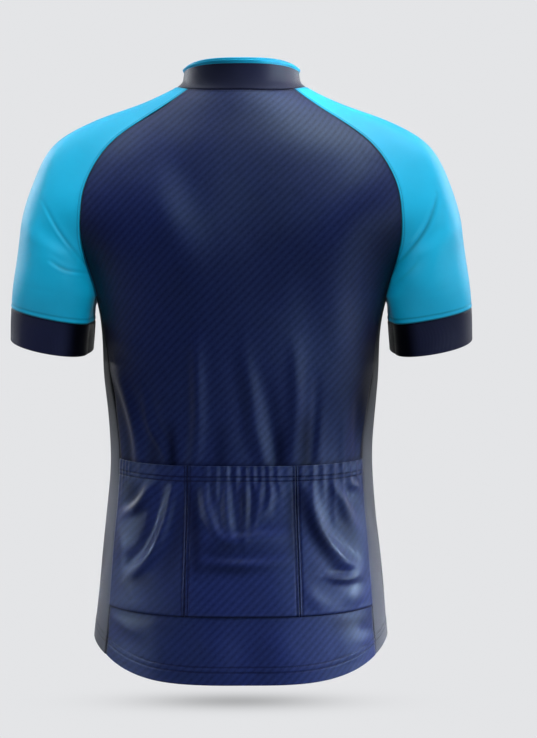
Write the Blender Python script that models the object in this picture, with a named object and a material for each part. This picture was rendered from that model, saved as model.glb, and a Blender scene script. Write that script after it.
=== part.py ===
"""A short-sleeved cycling jersey, hollow and filled out as if worn, with nobody in it.

The frame is in metres with +Z up.  The back faces -Y and the front +Y, so the wearer's left arm
is on the -X side.  The origin is the middle of the neck, at the height of the collar's seam at
the back, where the wearer's neck and shoulders hold the jersey up.

The body is one smooth form.  It is a stack of rounded rings, and a point of it is given by an
angle and a level.  The angle runs round the body, from 0 at the middle of the back, over 90
degrees at the wearer's right side, to 180 at the middle of the front.  The level is the height
of a ring at the middle of the back.  Each ring rises or falls from there to its side and front.
Above the armpits the rings take in the shoulders, and the raglan seams cut the sleeves' part off.
"""
import bpy
import bmesh
import math
import numpy as np
from mathutils import Matrix, Vector

MM = 0.001

# Cloth and seams, in metres.
CLOTH = 1.2 * MM
COLLAR_CLOTH = 1.6 * MM
BINDING_CLOTH = 2.2 * MM
SEAM = 0.3 * MM

# Rings of the body, from the hem up, in millimetres.
RING_NAMES = ("level", "side", "front", "half_width", "back_depth", "front_depth", "axis_y", "squareness")
RINGS = (
    (-678, -630, -618, 170.5, 121, 108, 2, 2.30),  # hem
    (-602, -587, -570, 167.0, 119, 108, 1, 2.30),  # foot of the pockets
    (-520, -506, -496, 159.0, 110, 107, 0, 2.30),
    (-432, -420, -412, 152.5, 98, 106, 0, 2.30),   # waist, and mouth of the pockets
    (-330, -326, -324, 160.0, 111, 113, 0, 2.30),
    (-237, -237, -246, 170.5, 122, 120, 2, 2.30),  # armpits
    (-223, -222, -234, 176.0, 123, 120, 2, 2.30),
    (-195, -190, -212, 194.0, 123.5, 120, 2, 2.30),
    (-152, -143, -180, 222.0, 120, 116, 2, 2.30),
    (-97, -82, -140, 212.0, 106, 106, 2, 2.20),
    (-62, -42, -114, 178.0, 92, 95, 2, 2.15),
    (-32, -14, -92, 128.0, 77, 84, 3, 2.10),
    (-12, 0, -74, 94.0, 66, 75, 4, 2.10),
    (0, 8, -62, 75.0, 58, 67, 5, 2.10),            # neck seam
)
ARMPIT_LEVEL = -237
POCKET_TOP = -432

# Raglan and side seams: the angle of the seam on the back, in degrees, at each level.  The seams
# of the front lie at the same angles from the middle of the front.
SEAM_NAMES = ("level", "angle")
RAGLAN = (
    (-237, 77.5), (-223, 73.7), (-210, 70.0), (-195, 64.6), (-175, 57.8), (-152, 52.6),
    (-120, 51.2), (-62, 50.9), (-32, 50.6), (-12, 51.8), (0, 53.6),
)
SIDE_SEAM = (
    (-678, 61.6), (-602, 60.6), (-520, 61.4), (-432, 62.3), (-400, 63.1), (-330, 67.1), (-280, 71.6),
    (-237, 77.5),
)

# The sleeve, in millimetres.  A share of 0 is the neck, 1 the armpit, SLEEVE_END the cuff's seam
# and CUFF_END the cuff's edge.  The outer line is the one that shows against the light.
SLEEVE_END = 1.10
CUFF_END = 1.24
OUTER_NAMES = ("share", "x", "y", "z")
OUTER = (
    (0.00, 75, 5, 8), (0.05, 88, 4, 1), (0.154, 120.5, 3, -13.8), (0.325, 173, 1, -33),
    (0.40, 197, 0, -45), (0.485, 219, -1, -61.6), (0.55, 231, -1, -78.2), (0.628, 241, 0, -100),
    (0.768, 255, 1, -143), (0.90, 261.5, 3, -186), (1.00, 266.5, 5, -218.5),
    (SLEEVE_END, 270, 9, -249), (CUFF_END, 271.5, 15, -286),
)
# The level at which the raglan seam reaches each share of its length.
REACH_NAMES = ("share", "level")
REACH = (
    (0.00, 0), (0.048, -12), (0.154, -32), (0.325, -62), (0.485, -97), (0.628, -135), (0.768, -175),
    (0.90, -210), (1.00, -237),
)
# Below the armpit the sleeve is a tube.  x and z give its inner line, span the half depth of its
# flattened inner side, and round how far that side bulges towards the body.
INNER_NAMES = ("share", "x", "z", "span", "round")
INNER = (
    (1.00, 168.1, -237, 26.6, -2.4), (1.05, 173.0, -251, 25.5, 2.0), (SLEEVE_END, 176.0, -265, 24, 4.5),
    (CUFF_END, 179.5, -299, 22, 5.5),
)
# How each row of the sleeve arches.  turn is 0 where it leaves the seam along the body and 1
# where it leaves it straight back.  pull_seam and pull_outer are the lengths of its curve's
# handles, and dip is how much the row falls as it goes to the back.  ASIDE is how far a row leans
# out to the side as it leaves the seam straight back.
ASIDE = 0.12
ARCH_NAMES = ("share", "turn", "pull_seam", "pull_outer", "dip")
ARCH = (
    (0.00, 0.00, 17, 18, 0.00), (0.154, 0.00, 24, 30, 0.00), (0.325, 0.00, 32, 42, 0.00),
    (0.485, 0.04, 36, 52, 0.00), (0.628, 0.16, 38, 58, 0.02), (0.768, 0.40, 42, 66, 0.06),
    (0.90, 0.80, 48, 74, 0.10), (1.00, 1.00, 52, 76, 0.12), (SLEEVE_END, 1.00, 44, 60, 0.16),
    (CUFF_END, 1.00, 42, 56, 0.26),
)

# The collar, in millimetres, from its seam to its edge.
COLLAR_NAMES = ("share", "half_width", "back_depth", "front_depth", "axis_y", "back", "side", "front")
COLLAR = (
    (0.00, 75.0, 58.0, 67.0, 5, 0, 8, -62),
    (0.18, 70.6, 56.4, 65.0, 5, 6.5, 11.8, -56),
    (0.45, 68.2, 55.0, 62.5, 5, 16.2, 17.6, -46.8),
    (0.75, 67.4, 54.2, 60.0, 5, 27.0, 23.8, -36.6),
    (1.00, 67.0, 53.6, 58.0, 5, 37.0, 29.6, -28),
)
COLLAR_SQUARE = 2.1
BINDING_SHARE = 0.83

# Pockets.  The two dividers lie at these angles, in degrees, at the pockets' foot and mouth, and
# each parts its pockets by twice DIVIDER_GAP.
DIVIDER_NAMES = ("level", "left", "right")
DIVIDERS = ((-602, 21.5, 22.8), (-432, 22.55, 23.35))
DIVIDER_GAP = 0.12
# Heights of the pockets' forms, in millimetres: the elastic band at the mouth and its step down to
# the pocket, the gathers and how far down they fade out, and how far the pocket puffs out.
BAND_HEIGHT = 12.5
BAND_RAMP = 2.5
BAND_STEP = 0.5
GATHER_HEIGHT = 1.3
GATHER_FADE = 46
POCKET_PUFF = 1.4
POCKET_GAP = 0.5
POCKET_ROWS = (0, 5, BAND_HEIGHT, BAND_HEIGHT + BAND_RAMP, 26, 46, 76, 108, 140, 158, 170)
# The puff grows fast from a pocket's sides and from its mouth.
PUFF_ACROSS = 0.7
PUFF_DOWN = 0.75

# Zip, in metres.
ZIP_PARTING = 3.4 * MM
ZIP_HALF_TAPE = 11.0 * MM
ZIP_TAPE = 1.0 * MM
ZIP_RIB = 1.8 * MM
ZIP_RIB_SHARES = (-1.0, -0.27, -0.20, 0.20, 0.27, 1.0)
ZIP_COLLAR_SHARES = (0.97, 0.7, 0.4, 0.14)
SLIDER_SHARE = 0.66

# The largest folds: ridges, and troughs with a height below 0, in millimetres, from one end to
# the other as they lie when the back is looked at: from x and z, to x and z, width and height.
# At its ends a fold keeps END_HEIGHT of its height.  The back's folds fade out over FADE_ABOVE
# above the pockets.
BACK_FOLDS = (
    (-131, -385, -118, -424, 9, 2.4),
    (-106, -380, -90, -424, 10, 1.8),
    (-52, -340, -51, -424, 12, 1.8),
    (70, -340, 65, -424, 11, 2.0),
    (45, -352, 44, -424, 11, -1.6),
    (122, -380, 123, -424, 9, 1.6),
)
POCKET_FOLDS = (
    (-108, -448, -129, -484, 8, 2.8),
    (-81, -452, -126, -550, 9, 3.6),
    (-34, -452, -27, -498, 7, 2.4),
    (-9, -452, -5, -508, 7, 2.4),
    (10, -452, 26, -474, 7, 2.0),
    (73, -458, 126, -548, 9, 4.0),
    (119, -446, 135, -470, 7, 2.4),
    (-45, -508, 46, -506, 6, 1.6),
)
SLEEVE_FOLDS = (
    (228, -118, 184, -198, 10, 2.4),
    (246, -150, 200, -214, 10, -2.0),
)
END_HEIGHT = 0.25
FADE_ABOVE = 14
# How fast folds fade in from the sides, where the cloth turns away from the back.
BODY_TURN = 4
SLEEVE_TURN = 3

# Rows and columns of the faces.
CAP_ROWS = 12
SIDE_LEVELS = (
    ARMPIT_LEVEL, -275, -315, -350, -382, -408, POCKET_TOP, -456, -482, -510, -540, -571, -602, -627,
    -652, -678,
)
BACK_COLUMNS = 24
FRONT_COLUMNS = 9
SIDE_COLUMNS = 5
SLEEVE_COLUMNS = 20
TUBE_ROWS = 2
CUFF_ROWS = 2
COLLAR_COLUMNS = 34
GATHER_FACES = 3
COLLAR_ROWS = (1.0, 0.82, 0.5, 0.2, 0.0)
BINDING_ROWS = (1.0, 0.5, 0.0)

NAVY = (0.010, 0.015, 0.055, 1.0)
CYAN = (0.012, 0.290, 0.480, 1.0)
CHARCOAL = (0.012, 0.015, 0.030, 1.0)
GREY = (0.085, 0.105, 0.140, 1.0)
METAL = (0.16, 0.17, 0.19, 1.0)


def smooth(table, names, name):
    """A natural cubic curve through one column of a table, over its first column."""
    rows = sorted(table)
    x = np.array([row[0] for row in rows], float)
    y = np.array([row[names.index(name)] for row in rows], float)
    step = np.diff(x)
    slope = np.diff(y) / step
    last = len(x) - 1
    system = np.eye(len(x))
    change = np.zeros(len(x))
    for i in range(1, last):
        system[i, i - 1:i + 2] = step[i - 1], 2 * (step[i - 1] + step[i]), step[i]
        change[i] = 6 * (slope[i] - slope[i - 1])
    bend = np.linalg.solve(system, change)

    def curve(at):
        at = np.asarray(at, float)
        i = np.clip(np.searchsorted(x, at) - 1, 0, last - 1)
        gap, after, before = step[i], at - x[i], x[i + 1] - at
        value = (bend[i] * before**3 + bend[i + 1] * after**3) / (6 * gap)
        value = value + (y[i] / gap - bend[i] * gap / 6) * before
        return value + (y[i + 1] / gap - bend[i + 1] * gap / 6) * after

    return curve


def curves(table, names):
    return {name: smooth(table, names, name) for name in names[1:]}


RING = curves(RINGS, RING_NAMES)
RAGLAN_ANGLE = smooth(RAGLAN, SEAM_NAMES, "angle")
SIDE_ANGLE = smooth(SIDE_SEAM, SEAM_NAMES, "angle")
OUTER_LINE = curves(OUTER, OUTER_NAMES)
SEAM_LEVEL = smooth(REACH, REACH_NAMES, "level")
INNER_LINE = curves(INNER, INNER_NAMES)
ROW_ARCH = curves(ARCH, ARCH_NAMES)
COLLAR_RING = curves(COLLAR, COLLAR_NAMES)


def rounded(angle, half_width, back_depth, front_depth, axis_y, square, heights):
    """A point on a rounded ring, in metres; heights are its back, side and front."""
    sine, cosine = np.sin(angle), np.cos(angle)
    reach = (np.abs(sine)**square + np.abs(cosine)**square)**(-1 / square)
    depth = np.where(cosine > 0, back_depth, front_depth)
    back, side, front = heights
    rise = np.where(cosine > 0, (back - side) * (1 - sine**4), (front - side) * (1 - sine**2))
    x = half_width * sine * reach
    y = axis_y - depth * cosine * reach
    return np.stack(np.broadcast_arrays(x, y, side + rise), axis=-1) * MM


def body_form(angle, level):
    angle, level = np.broadcast_arrays(np.asarray(angle, float), np.asarray(level, float))
    ring = {name: curve(level) for name, curve in RING.items()}
    return rounded(angle, ring["half_width"], ring["back_depth"], ring["front_depth"], ring["axis_y"],
                   ring["squareness"], (level, ring["side"], ring["front"]))


def collar_form(angle, share):
    angle, share = np.broadcast_arrays(np.asarray(angle, float), np.asarray(share, float))
    ring = {name: curve(share) for name, curve in COLLAR_RING.items()}
    return rounded(angle, ring["half_width"], ring["back_depth"], ring["front_depth"], ring["axis_y"],
                   COLLAR_SQUARE, (ring["back"], ring["side"], ring["front"]))


def unit(vectors):
    return vectors / np.linalg.norm(vectors, axis=-1, keepdims=True)


def outward(form, angle, height, height_step, turn=1e-4):
    """The outward direction of a form, from small steps to each side."""
    round_it = form(angle + turn, height) - form(angle - turn, height)
    up_it = form(angle, height + height_step) - form(angle, height - height_step)
    return unit(np.cross(round_it, up_it))


def fold_lift(points, folds):
    """How far the folds raise each point, in metres."""
    lift = np.zeros(points.shape[:-1])
    place = points[..., (0, 2)] / MM
    for from_x, from_z, to_x, to_z, width, height in folds:
        start = np.array((from_x, from_z), float)
        run = np.array((to_x, to_z), float) - start
        along = np.clip((place - start) @ run / (run @ run), 0, 1)
        away = np.linalg.norm(place - start - along[..., None] * run, axis=-1)
        taper = END_HEIGHT + (1 - END_HEIGHT) * np.sin(np.pi * along)
        lift += height * taper * np.exp(-(away / width)**2)
    return lift * MM


def body(angle, level, out=0.0):
    """A point of the jersey's body with its largest folds, moved out by a distance."""
    angle, level = np.broadcast_arrays(np.asarray(angle, float), np.asarray(level, float))
    point = body_form(angle, level)
    above = np.clip((level - POCKET_TOP) / FADE_ABOVE, 0, 1)
    on_back = np.clip(np.cos(angle) * BODY_TURN, 0, 1)
    lift = fold_lift(point, BACK_FOLDS) * above * on_back + out
    return point + outward(body_form, angle, level, height_step=0.05) * lift[..., None]


def collar(angle, share, out=0.0):
    """A point of the collar, moved out by a distance."""
    point = collar_form(angle, share)
    lift = np.broadcast_to(out, point.shape[:-1])
    return point + outward(collar_form, angle, share, height_step=1e-4) * lift[..., None]


def new_material(name, colour, roughness, metallic=0.0):
    material = bpy.data.materials.new(name)
    material.use_nodes = True
    shader = material.node_tree.nodes["Principled BSDF"]
    shader.inputs["Base Color"].default_value = colour
    shader.inputs["Roughness"].default_value = roughness
    shader.inputs["Metallic"].default_value = metallic
    return material


def new_object(name, vertices, faces, material):
    mesh = bpy.data.meshes.new(name)
    mesh.from_pydata([tuple(vertex) for vertex in vertices], [], faces)
    mesh.materials.append(material)
    mesh.shade_smooth()
    piece = bpy.data.objects.new(name, mesh)
    bpy.context.scene.collection.objects.link(piece)
    return piece


def rim_faces(faces):
    """The open edges of a set of faces, each as it runs in its own face."""
    edges = {}
    for face in faces:
        for i, start in enumerate(face):
            edges[(start, face[(i + 1) % len(face)])] = True
    return [edge for edge in edges if edge[::-1] not in edges]


def wall(name, outer, inner, faces, material):
    """A closed wall of cloth between matching outer and inner points."""
    count = len(outer)
    inside = [tuple(corner + count for corner in face[::-1]) for face in faces]
    rim = [(end, start, start + count, end + count) for start, end in rim_faces(faces)]
    return new_object(name, np.concatenate([outer, inner]), faces + inside + rim, material)


def cloth_wall(name, vertices, faces, thickness, material):
    """A closed wall of cloth whose outer face is the given one."""
    piece = new_object(name, vertices, faces, material)
    solidify = piece.modifiers.new("cloth", "SOLIDIFY")
    solidify.thickness = thickness
    solidify.offset = -1
    return piece


def grid_faces(rows, columns, flip=False):
    """Quads over a block of numbered points, so many rows down and columns across."""
    quads = []
    for row in range(rows - 1):
        for column in range(columns - 1):
            a = row * columns + column
            quad = (a, a + columns, a + columns + 1, a + 1)
            quads.append(quad[::-1] if flip else quad)
    return quads


def panel(name, outer, inner, material, flip=False):
    rows, columns = outer.shape[:2]
    faces = grid_faces(rows, columns, flip=flip)
    return wall(name, outer.reshape(-1, 3), inner.reshape(-1, 3), faces, material)


def body_panel(name, angles, levels, material, lift=0.0, flip=False):
    outer = body(angles, levels, out=lift)
    return panel(name, outer, body(angles, levels, out=lift - CLOTH), material, flip)


def shares(count):
    return np.linspace(0, 1, count + 1)


def body_levels():
    """The rows that the back, sides and fronts have in common, down to the armpit and below it."""
    cap = SEAM_LEVEL(shares(CAP_ROWS))
    return cap, np.array(SIDE_LEVELS, float)


def seam_angles(levels):
    """The angle of the seam that ends the back, at each level, in radians."""
    angle = np.where(levels >= ARMPIT_LEVEL, RAGLAN_ANGLE(levels), SIDE_ANGLE(levels))
    return np.radians(angle)


def half_seam(levels):
    """Half of the gap at a seam, as an angle."""
    return 0.5 * SEAM / (RING["half_width"](levels) * MM)


def make_back(material):
    cap, side = body_levels()
    levels = np.concatenate([cap, side[1:]])
    edge = seam_angles(levels) - half_seam(levels)
    across = np.linspace(-1, 1, BACK_COLUMNS + 1)
    angles = edge[:, None] * across[None, :]
    return body_panel("back_panel", angles, levels[:, None], material)


def make_front(name, side, material):
    cap, low = body_levels()
    levels = np.concatenate([cap, low[1:]])
    seam = np.pi - seam_angles(levels) + half_seam(levels)
    parting = np.pi - ZIP_PARTING / (RING["half_width"](levels) * MM)
    across = shares(FRONT_COLUMNS)
    angles = seam[:, None] + (parting - seam)[:, None] * across
    return body_panel(name, side * angles, levels[:, None], material, flip=side < 0)


def make_side(name, side, material):
    levels = body_levels()[1]
    seam = seam_angles(levels) + half_seam(levels)
    levels[0] -= SEAM / MM
    across = shares(SIDE_COLUMNS)
    angles = seam[:, None] + (np.pi - 2 * seam)[:, None] * across
    return body_panel(name, side * angles, levels[:, None], material, flip=side < 0)


def arch(start, start_pull, end_pull, end, count):
    """Points along a curve with the given ends and handles."""
    t = shares(count)[:, None]
    return ((1 - t)**3 * start + 3 * (1 - t)**2 * t * (start + start_pull)
            + 3 * (1 - t) * t**2 * (end + end_pull) + t**3 * end)


def tube_slope(share):
    """How steeply the inner side of a row rises to the front, from level at the armpit."""
    return float(ROW_ARCH["dip"](share)) * min(1, (share - 1) / (SLEEVE_END - 1))


def sleeve_ends(share, toward_front):
    """Where a row leaves the seam, and the way the body runs there."""
    if share > 1:
        x, z, span = (float(INNER_LINE[name](share)) for name in ("x", "z", "span"))
        reach = span if toward_front else -span
        middle = float(OUTER_LINE["y"](share))
        return np.array((x, middle + reach, z + tube_slope(share) * reach)) * MM, np.zeros(3)
    level = float(SEAM_LEVEL(share))
    angle = float(seam_angles(np.array(level)) + 2 * half_seam(level))
    step, sign = 1e-3, 1
    if toward_front:
        angle, sign = np.pi - angle, -1
    point = body(angle, level)
    return point, unit(body(angle + sign * step, level) - point)


def sleeve_row(share):
    """One row of a right sleeve, over the top from its back seam to its front seam."""
    outer = np.array([float(OUTER_LINE[name](share)) for name in ("x", "y", "z")]) * MM
    turn, pull_seam, pull_outer, dip = (float(ROW_ARCH[name](share)) for name in ARCH_NAMES[1:])
    halves = []
    for toward_front in (False, True):
        sign = 1 if toward_front else -1
        seam, along = sleeve_ends(share, toward_front)
        straight = np.array((ASIDE, sign, sign * dip))
        leave = unit(along * (1 - turn) + unit(straight) * turn)
        side_pull = unit(np.array((0.0, sign, sign * dip)))
        halves.append(arch(seam, leave * pull_seam * MM, side_pull * pull_outer * MM, outer,
                           SLEEVE_COLUMNS // 2))
    back, front = halves
    return np.concatenate([back, front[::-1][1:]])


def inner_row(share):
    """The points between a row's ends, round the side of the tube that faces the body."""
    angles = seam_angles(np.array(float(ARMPIT_LEVEL))) + 2 * half_seam(ARMPIT_LEVEL)
    across = shares(SIDE_COLUMNS)[1:-1][::-1]
    if share <= 1:
        return body(angles + (np.pi - 2 * angles) * across, ARMPIT_LEVEL, out=1.5 * SEAM)
    x, z, span, bulge = (float(INNER_LINE[name](share)) for name in INNER_NAMES[1:])
    middle = float(OUTER_LINE["y"](share))
    reach = span * (2 * across - 1)
    bow = 1 - (2 * across - 1)**2
    return np.stack([x - bulge * bow, middle + reach, z + tube_slope(share) * reach], axis=-1) * MM


def tube_row(share):
    return np.concatenate([sleeve_row(share), inner_row(share)])


def folded_rows(rows):
    """Raises the folds of a sleeve's upper side, along the rows' own outward direction."""
    down = np.gradient(rows, axis=0)
    across = np.gradient(rows, axis=1)
    out = unit(np.cross(down, across))
    on_back = np.clip(-out[..., 1] * SLEEVE_TURN, 0, 1)
    return rows + out * (fold_lift(rows, SLEEVE_FOLDS) * on_back)[..., None]


def loop_faces(rows, columns, start):
    """Quads round closed rows of numbered points."""
    quads = []
    for row in range(rows - 1):
        for column in range(columns):
            a = start + row * columns + column
            b = start + row * columns + (column + 1) % columns
            quads.append((a, a + columns, b + columns, b))
    return quads


def mirrored(points, side):
    return points * np.array((side, 1, 1))


def sided(faces, side):
    return [face[::-1] for face in faces] if side < 0 else faces


def make_sleeve(name, side, material):
    cap_shares = shares(CAP_ROWS)
    tube_shares = 1 + (SLEEVE_END - 1) * shares(TUBE_ROWS)
    cap = folded_rows(np.array([sleeve_row(share) for share in cap_shares]))
    tube = np.array([tube_row(share) for share in tube_shares])
    width = SLEEVE_COLUMNS + 1
    tube[0, :width] = cap[-1]
    tube[-1, :, 2] += SEAM / 2
    open_rows = cap[:-1].reshape(-1, 3)
    vertices = np.concatenate([open_rows, tube.reshape(-1, 3)])
    faces = grid_faces(CAP_ROWS + 1, width)
    faces += loop_faces(TUBE_ROWS + 1, tube.shape[1], len(open_rows))
    return cloth_wall(name, mirrored(vertices, side), sided(faces, side), CLOTH, material)


def make_cuff(name, side, material):
    cuff_shares = SLEEVE_END + (CUFF_END - SLEEVE_END) * shares(CUFF_ROWS)
    rows = np.array([tube_row(share) for share in cuff_shares])
    rows[0, :, 2] -= SEAM / 2
    faces = loop_faces(CUFF_ROWS + 1, rows.shape[1], 0)
    vertices = mirrored(rows.reshape(-1, 3), side)
    return cloth_wall(name, vertices, sided(faces, side), CLOTH, material)


def collar_angles():
    parting = ZIP_PARTING / (COLLAR[0][1] * MM)
    return np.linspace(-np.pi + parting, np.pi - parting, COLLAR_COLUMNS + 1)


def make_collar(material):
    heights = np.array(COLLAR_ROWS)[:, None] * BINDING_SHARE
    gaps = np.zeros((len(heights), 1, 3))
    gaps[0, 0, 2] = -SEAM / 2
    gaps[-1, 0, 2] = SEAM
    outer = collar(collar_angles(), heights) + gaps
    inner = collar(collar_angles(), heights, out=-COLLAR_CLOTH) + gaps
    return panel("collar", outer, inner, material)


def make_binding(material):
    """The folded tape over the collar's edge, a little thicker than the collar."""
    proud = (BINDING_CLOTH - COLLAR_CLOTH) / 2
    heights = np.array(BINDING_ROWS)[:, None] * (1 - BINDING_SHARE) + BINDING_SHARE
    gaps = np.zeros((len(heights), 1, 3))
    gaps[-1, 0, 2] = SEAM / 2
    outer = collar(collar_angles(), heights, out=proud) + gaps
    inner = collar(collar_angles(), heights, out=proud - BINDING_CLOTH) + gaps
    return panel("collar_binding", outer, inner, material)


def gathers(across, waves, below):
    """The small upright folds that the elastic draws up, fading below the band."""
    wave = 0.5 + 0.5 * np.cos(2 * np.pi * waves * across)
    fade = np.clip(1 - below / GATHER_FADE, 0, 1)
    return GATHER_HEIGHT * MM * wave * fade * fade


def make_pocket(name, angle_from, angle_to, waves, material):
    below = np.array(POCKET_ROWS, float)
    levels = (POCKET_TOP - below)[:, None]
    across = shares(waves * GATHER_FACES)[None, :]
    start, stop = angle_from(levels), angle_to(levels)
    angles = start + (stop - start) * across
    middle = np.sin(np.pi * across) ** PUFF_ACROSS
    height = np.sin(np.pi * (below / below[-1]) ** PUFF_DOWN)[:, None]
    on_band = np.clip((BAND_HEIGHT + BAND_RAMP - below) / BAND_RAMP, 0, 1)[:, None]
    lift = POCKET_GAP * MM + CLOTH + BAND_STEP * MM * on_band + POCKET_PUFF * MM * middle * height
    lift = lift + gathers(across, waves, below[:, None]) * middle
    place = body(angles, levels)
    lift = lift + fold_lift(place, POCKET_FOLDS) * middle * np.clip(below / BAND_HEIGHT, 0, 1)[:, None]
    return body_panel(name, angles, levels, material, lift)


def make_pockets(material):
    gap = math.radians(DIVIDER_GAP)

    def divider(sign, offset):
        angle = smooth(DIVIDERS, DIVIDER_NAMES, "left" if sign < 0 else "right")
        return lambda levels: sign * np.radians(angle(levels)) + offset

    def seam(sign):
        return lambda levels: sign * (seam_angles(levels) - 2 * half_seam(levels))

    return (
        make_pocket("pocket_left", seam(-1), divider(-1, -gap), 9, material),
        make_pocket("pocket_centre", divider(-1, gap), divider(1, -gap), 11, material),
        make_pocket("pocket_right", divider(1, gap), seam(1), 9, material),
    )


def front_line():
    """The levels and collar shares that the zip runs over, from the top down."""
    cap, side = body_levels()
    return np.array(ZIP_COLLAR_SHARES), np.concatenate([cap, side[1:]])


def make_zip(material):
    """The zip's two tapes, closed, with the raised rib that its teeth make."""
    offsets = np.array(ZIP_RIB_SHARES) * ZIP_HALF_TAPE
    raised = np.array((0, 0, 1, 1, 0, 0)) * ZIP_RIB
    collar_shares, levels = front_line()
    behind = np.full((len(levels), 1), -CLOTH - 2 * SEAM)
    behind[0] -= 1.5 * SEAM
    behind_collar = -COLLAR_CLOTH - 2 * SEAM
    neck_half = COLLAR[0][1] * MM
    upper = collar(np.pi - offsets / neck_half, collar_shares[:, None], out=behind_collar + raised)
    half = RING["half_width"](levels)[:, None] * MM
    lower = body(np.pi - offsets / half, levels[:, None], out=behind + raised)
    points = np.concatenate([upper, lower]).reshape(-1, 3)
    faces = grid_faces(len(collar_shares) + len(levels), len(offsets), flip=True)
    return cloth_wall("zip_tape", points, faces, ZIP_TAPE, material)


def slider_frame():
    """Where the slider's hinge is, and the frame along the zip there: across, up, out."""
    point = collar(math.pi, SLIDER_SHARE)
    up = unit(collar(math.pi, SLIDER_SHARE + 0.01) - collar(math.pi, SLIDER_SHARE - 0.01))
    across = np.array((1.0, 0.0, 0.0))
    return point, across, up, np.cross(up, across)


def placed(mesh_builder, name, material, stand_off):
    """Builds a mesh in the slider's frame and sets it that far out from the collar's face."""
    point, across, up, out = slider_frame()
    turn = Matrix((across, out, up)).transposed()
    mesh = bpy.data.meshes.new(name)
    build = bmesh.new()
    mesh_builder(build)
    build.to_mesh(mesh)
    build.free()
    mesh.materials.append(material)
    piece = bpy.data.objects.new(name, mesh)
    bpy.context.scene.collection.objects.link(piece)
    piece.matrix_world = Matrix.Translation(Vector(point + out * stand_off)) @ turn.to_4x4()
    return piece


# The slider and its pull, in metres, seen from the hinge: x across, y out and z up the zip.
HINGE_OUT = 3.6 * MM
PLATE = (8.6 * MM, 1.5 * MM, 11.0 * MM)
PLATE_OUT = -2.55 * MM
PLATE_EDGE = 0.4 * MM
PLATE_TAPER = 0.72
BRIDGE_HALF_WIDTH = 1.0 * MM
BRIDGE_OUTLINE = ((-4.6, -1.9), (-4.6, 1.0), (-3.4, 2.1), (3.4, 2.1), (4.6, 1.0), (4.6, -1.9),
                  (3.5, -1.9), (3.5, 0.5), (2.9, 1.1), (-2.9, 1.1), (-3.5, 0.5), (-3.5, -1.9))
PULL_OUTLINE = ((-3.3, 0.7), (3.3, 0.7), (3.6, -7.0), (4.2, -9.0), (4.2, -25.0), (3.0, -27.0),
                (-3.0, -27.0), (-4.2, -25.0), (-4.2, -9.0), (-3.6, -7.0))
PULL_WINDOW = ((-1.5, -0.7), (1.5, -0.7), (1.5, -6.2), (-1.5, -6.2))
PULL_HALF_THICK = 0.6 * MM
PULL_REST_LEAN = math.radians(5)


def block(build, size, centre):
    corners = bmesh.ops.create_cube(build, size=1.0)["verts"]
    bmesh.ops.scale(build, verts=corners, vec=size)
    bmesh.ops.translate(build, verts=corners, vec=centre)


def slider_mesh(build):
    """A plate over the teeth, tapered to its foot, with a bridge standing on it."""
    block(build, PLATE, (0, PLATE_OUT, 0))
    for corner in build.verts:
        if corner.co.z < 0:
            corner.co.x *= PLATE_TAPER
    bmesh.ops.bevel(build, geom=build.edges[:], offset=PLATE_EDGE, segments=1, affect="EDGES")


def bridge_mesh(build):
    rim = [build.verts.new((-BRIDGE_HALF_WIDTH, out * MM, up * MM)) for up, out in BRIDGE_OUTLINE]
    face = build.faces.new(rim)
    extrusion = bmesh.ops.extrude_face_region(build, geom=[face])["geom"]
    moved = [item for item in extrusion if isinstance(item, bmesh.types.BMVert)]
    bmesh.ops.translate(build, verts=moved, vec=(2 * BRIDGE_HALF_WIDTH, 0, 0))
    bmesh.ops.recalc_face_normals(build, faces=build.faces[:])


def pull_mesh(build):
    """A flat tab with a window at its top, whose upper bar turns under the bridge."""
    loops = []
    for outline in (PULL_OUTLINE, PULL_WINDOW):
        loop = [build.verts.new((across * MM, -PULL_HALF_THICK, up * MM)) for across, up in outline]
        loops += [build.edges.new((loop[i - 1], loop[i])) for i in range(len(loop))]
    faces = bmesh.ops.triangle_fill(build, use_beauty=True, edges=loops)["geom"]
    faces = [item for item in faces if isinstance(item, bmesh.types.BMFace)]
    extrusion = bmesh.ops.extrude_face_region(build, geom=faces)["geom"]
    moved = [item for item in extrusion if isinstance(item, bmesh.types.BMVert)]
    bmesh.ops.translate(build, verts=moved, vec=(0, 2 * PULL_HALF_THICK, 0))
    bmesh.ops.recalc_face_normals(build, faces=build.faces[:])


def make_slider(material):
    slider = placed(slider_mesh, "zip_slider", material, HINGE_OUT)
    bridge = placed(bridge_mesh, "bridge_guide", material, HINGE_OUT)
    join = slider.modifiers.new("bridge", "BOOLEAN")
    join.operation = "UNION"
    join.object = bridge
    bridge.hide_render = True
    bridge.display_type = "WIRE"
    return slider


def make_pull(material):
    pull = placed(pull_mesh, "zip_pull", material, HINGE_OUT)
    pull.matrix_world = pull.matrix_world @ Matrix.Rotation(PULL_REST_LEAN, 4, "X")
    return pull


def clear_scene():
    for item in list(bpy.data.objects):
        bpy.data.objects.remove(item, do_unlink=True)


def main():
    clear_scene()
    navy = new_material("navy_knit", NAVY, 0.6)
    cyan = new_material("cyan_knit", CYAN, 0.6)
    charcoal = new_material("charcoal_knit", CHARCOAL, 0.7)
    grey = new_material("grey_mesh", GREY, 0.7)
    metal = new_material("zip_metal", METAL, 0.35, 1.0)
    make_back(navy)
    make_collar(charcoal)
    make_binding(cyan)
    make_pockets(navy)
    for word, side in (("left", -1), ("right", 1)):
        make_side("side_panel_" + word, side, grey)
        make_front("front_" + word, side, navy)
        make_sleeve("sleeve_" + word, side, cyan)
        make_cuff("cuff_" + word, side, charcoal)
    make_zip(charcoal)
    make_slider(metal)
    make_pull(metal)


main()
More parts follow.
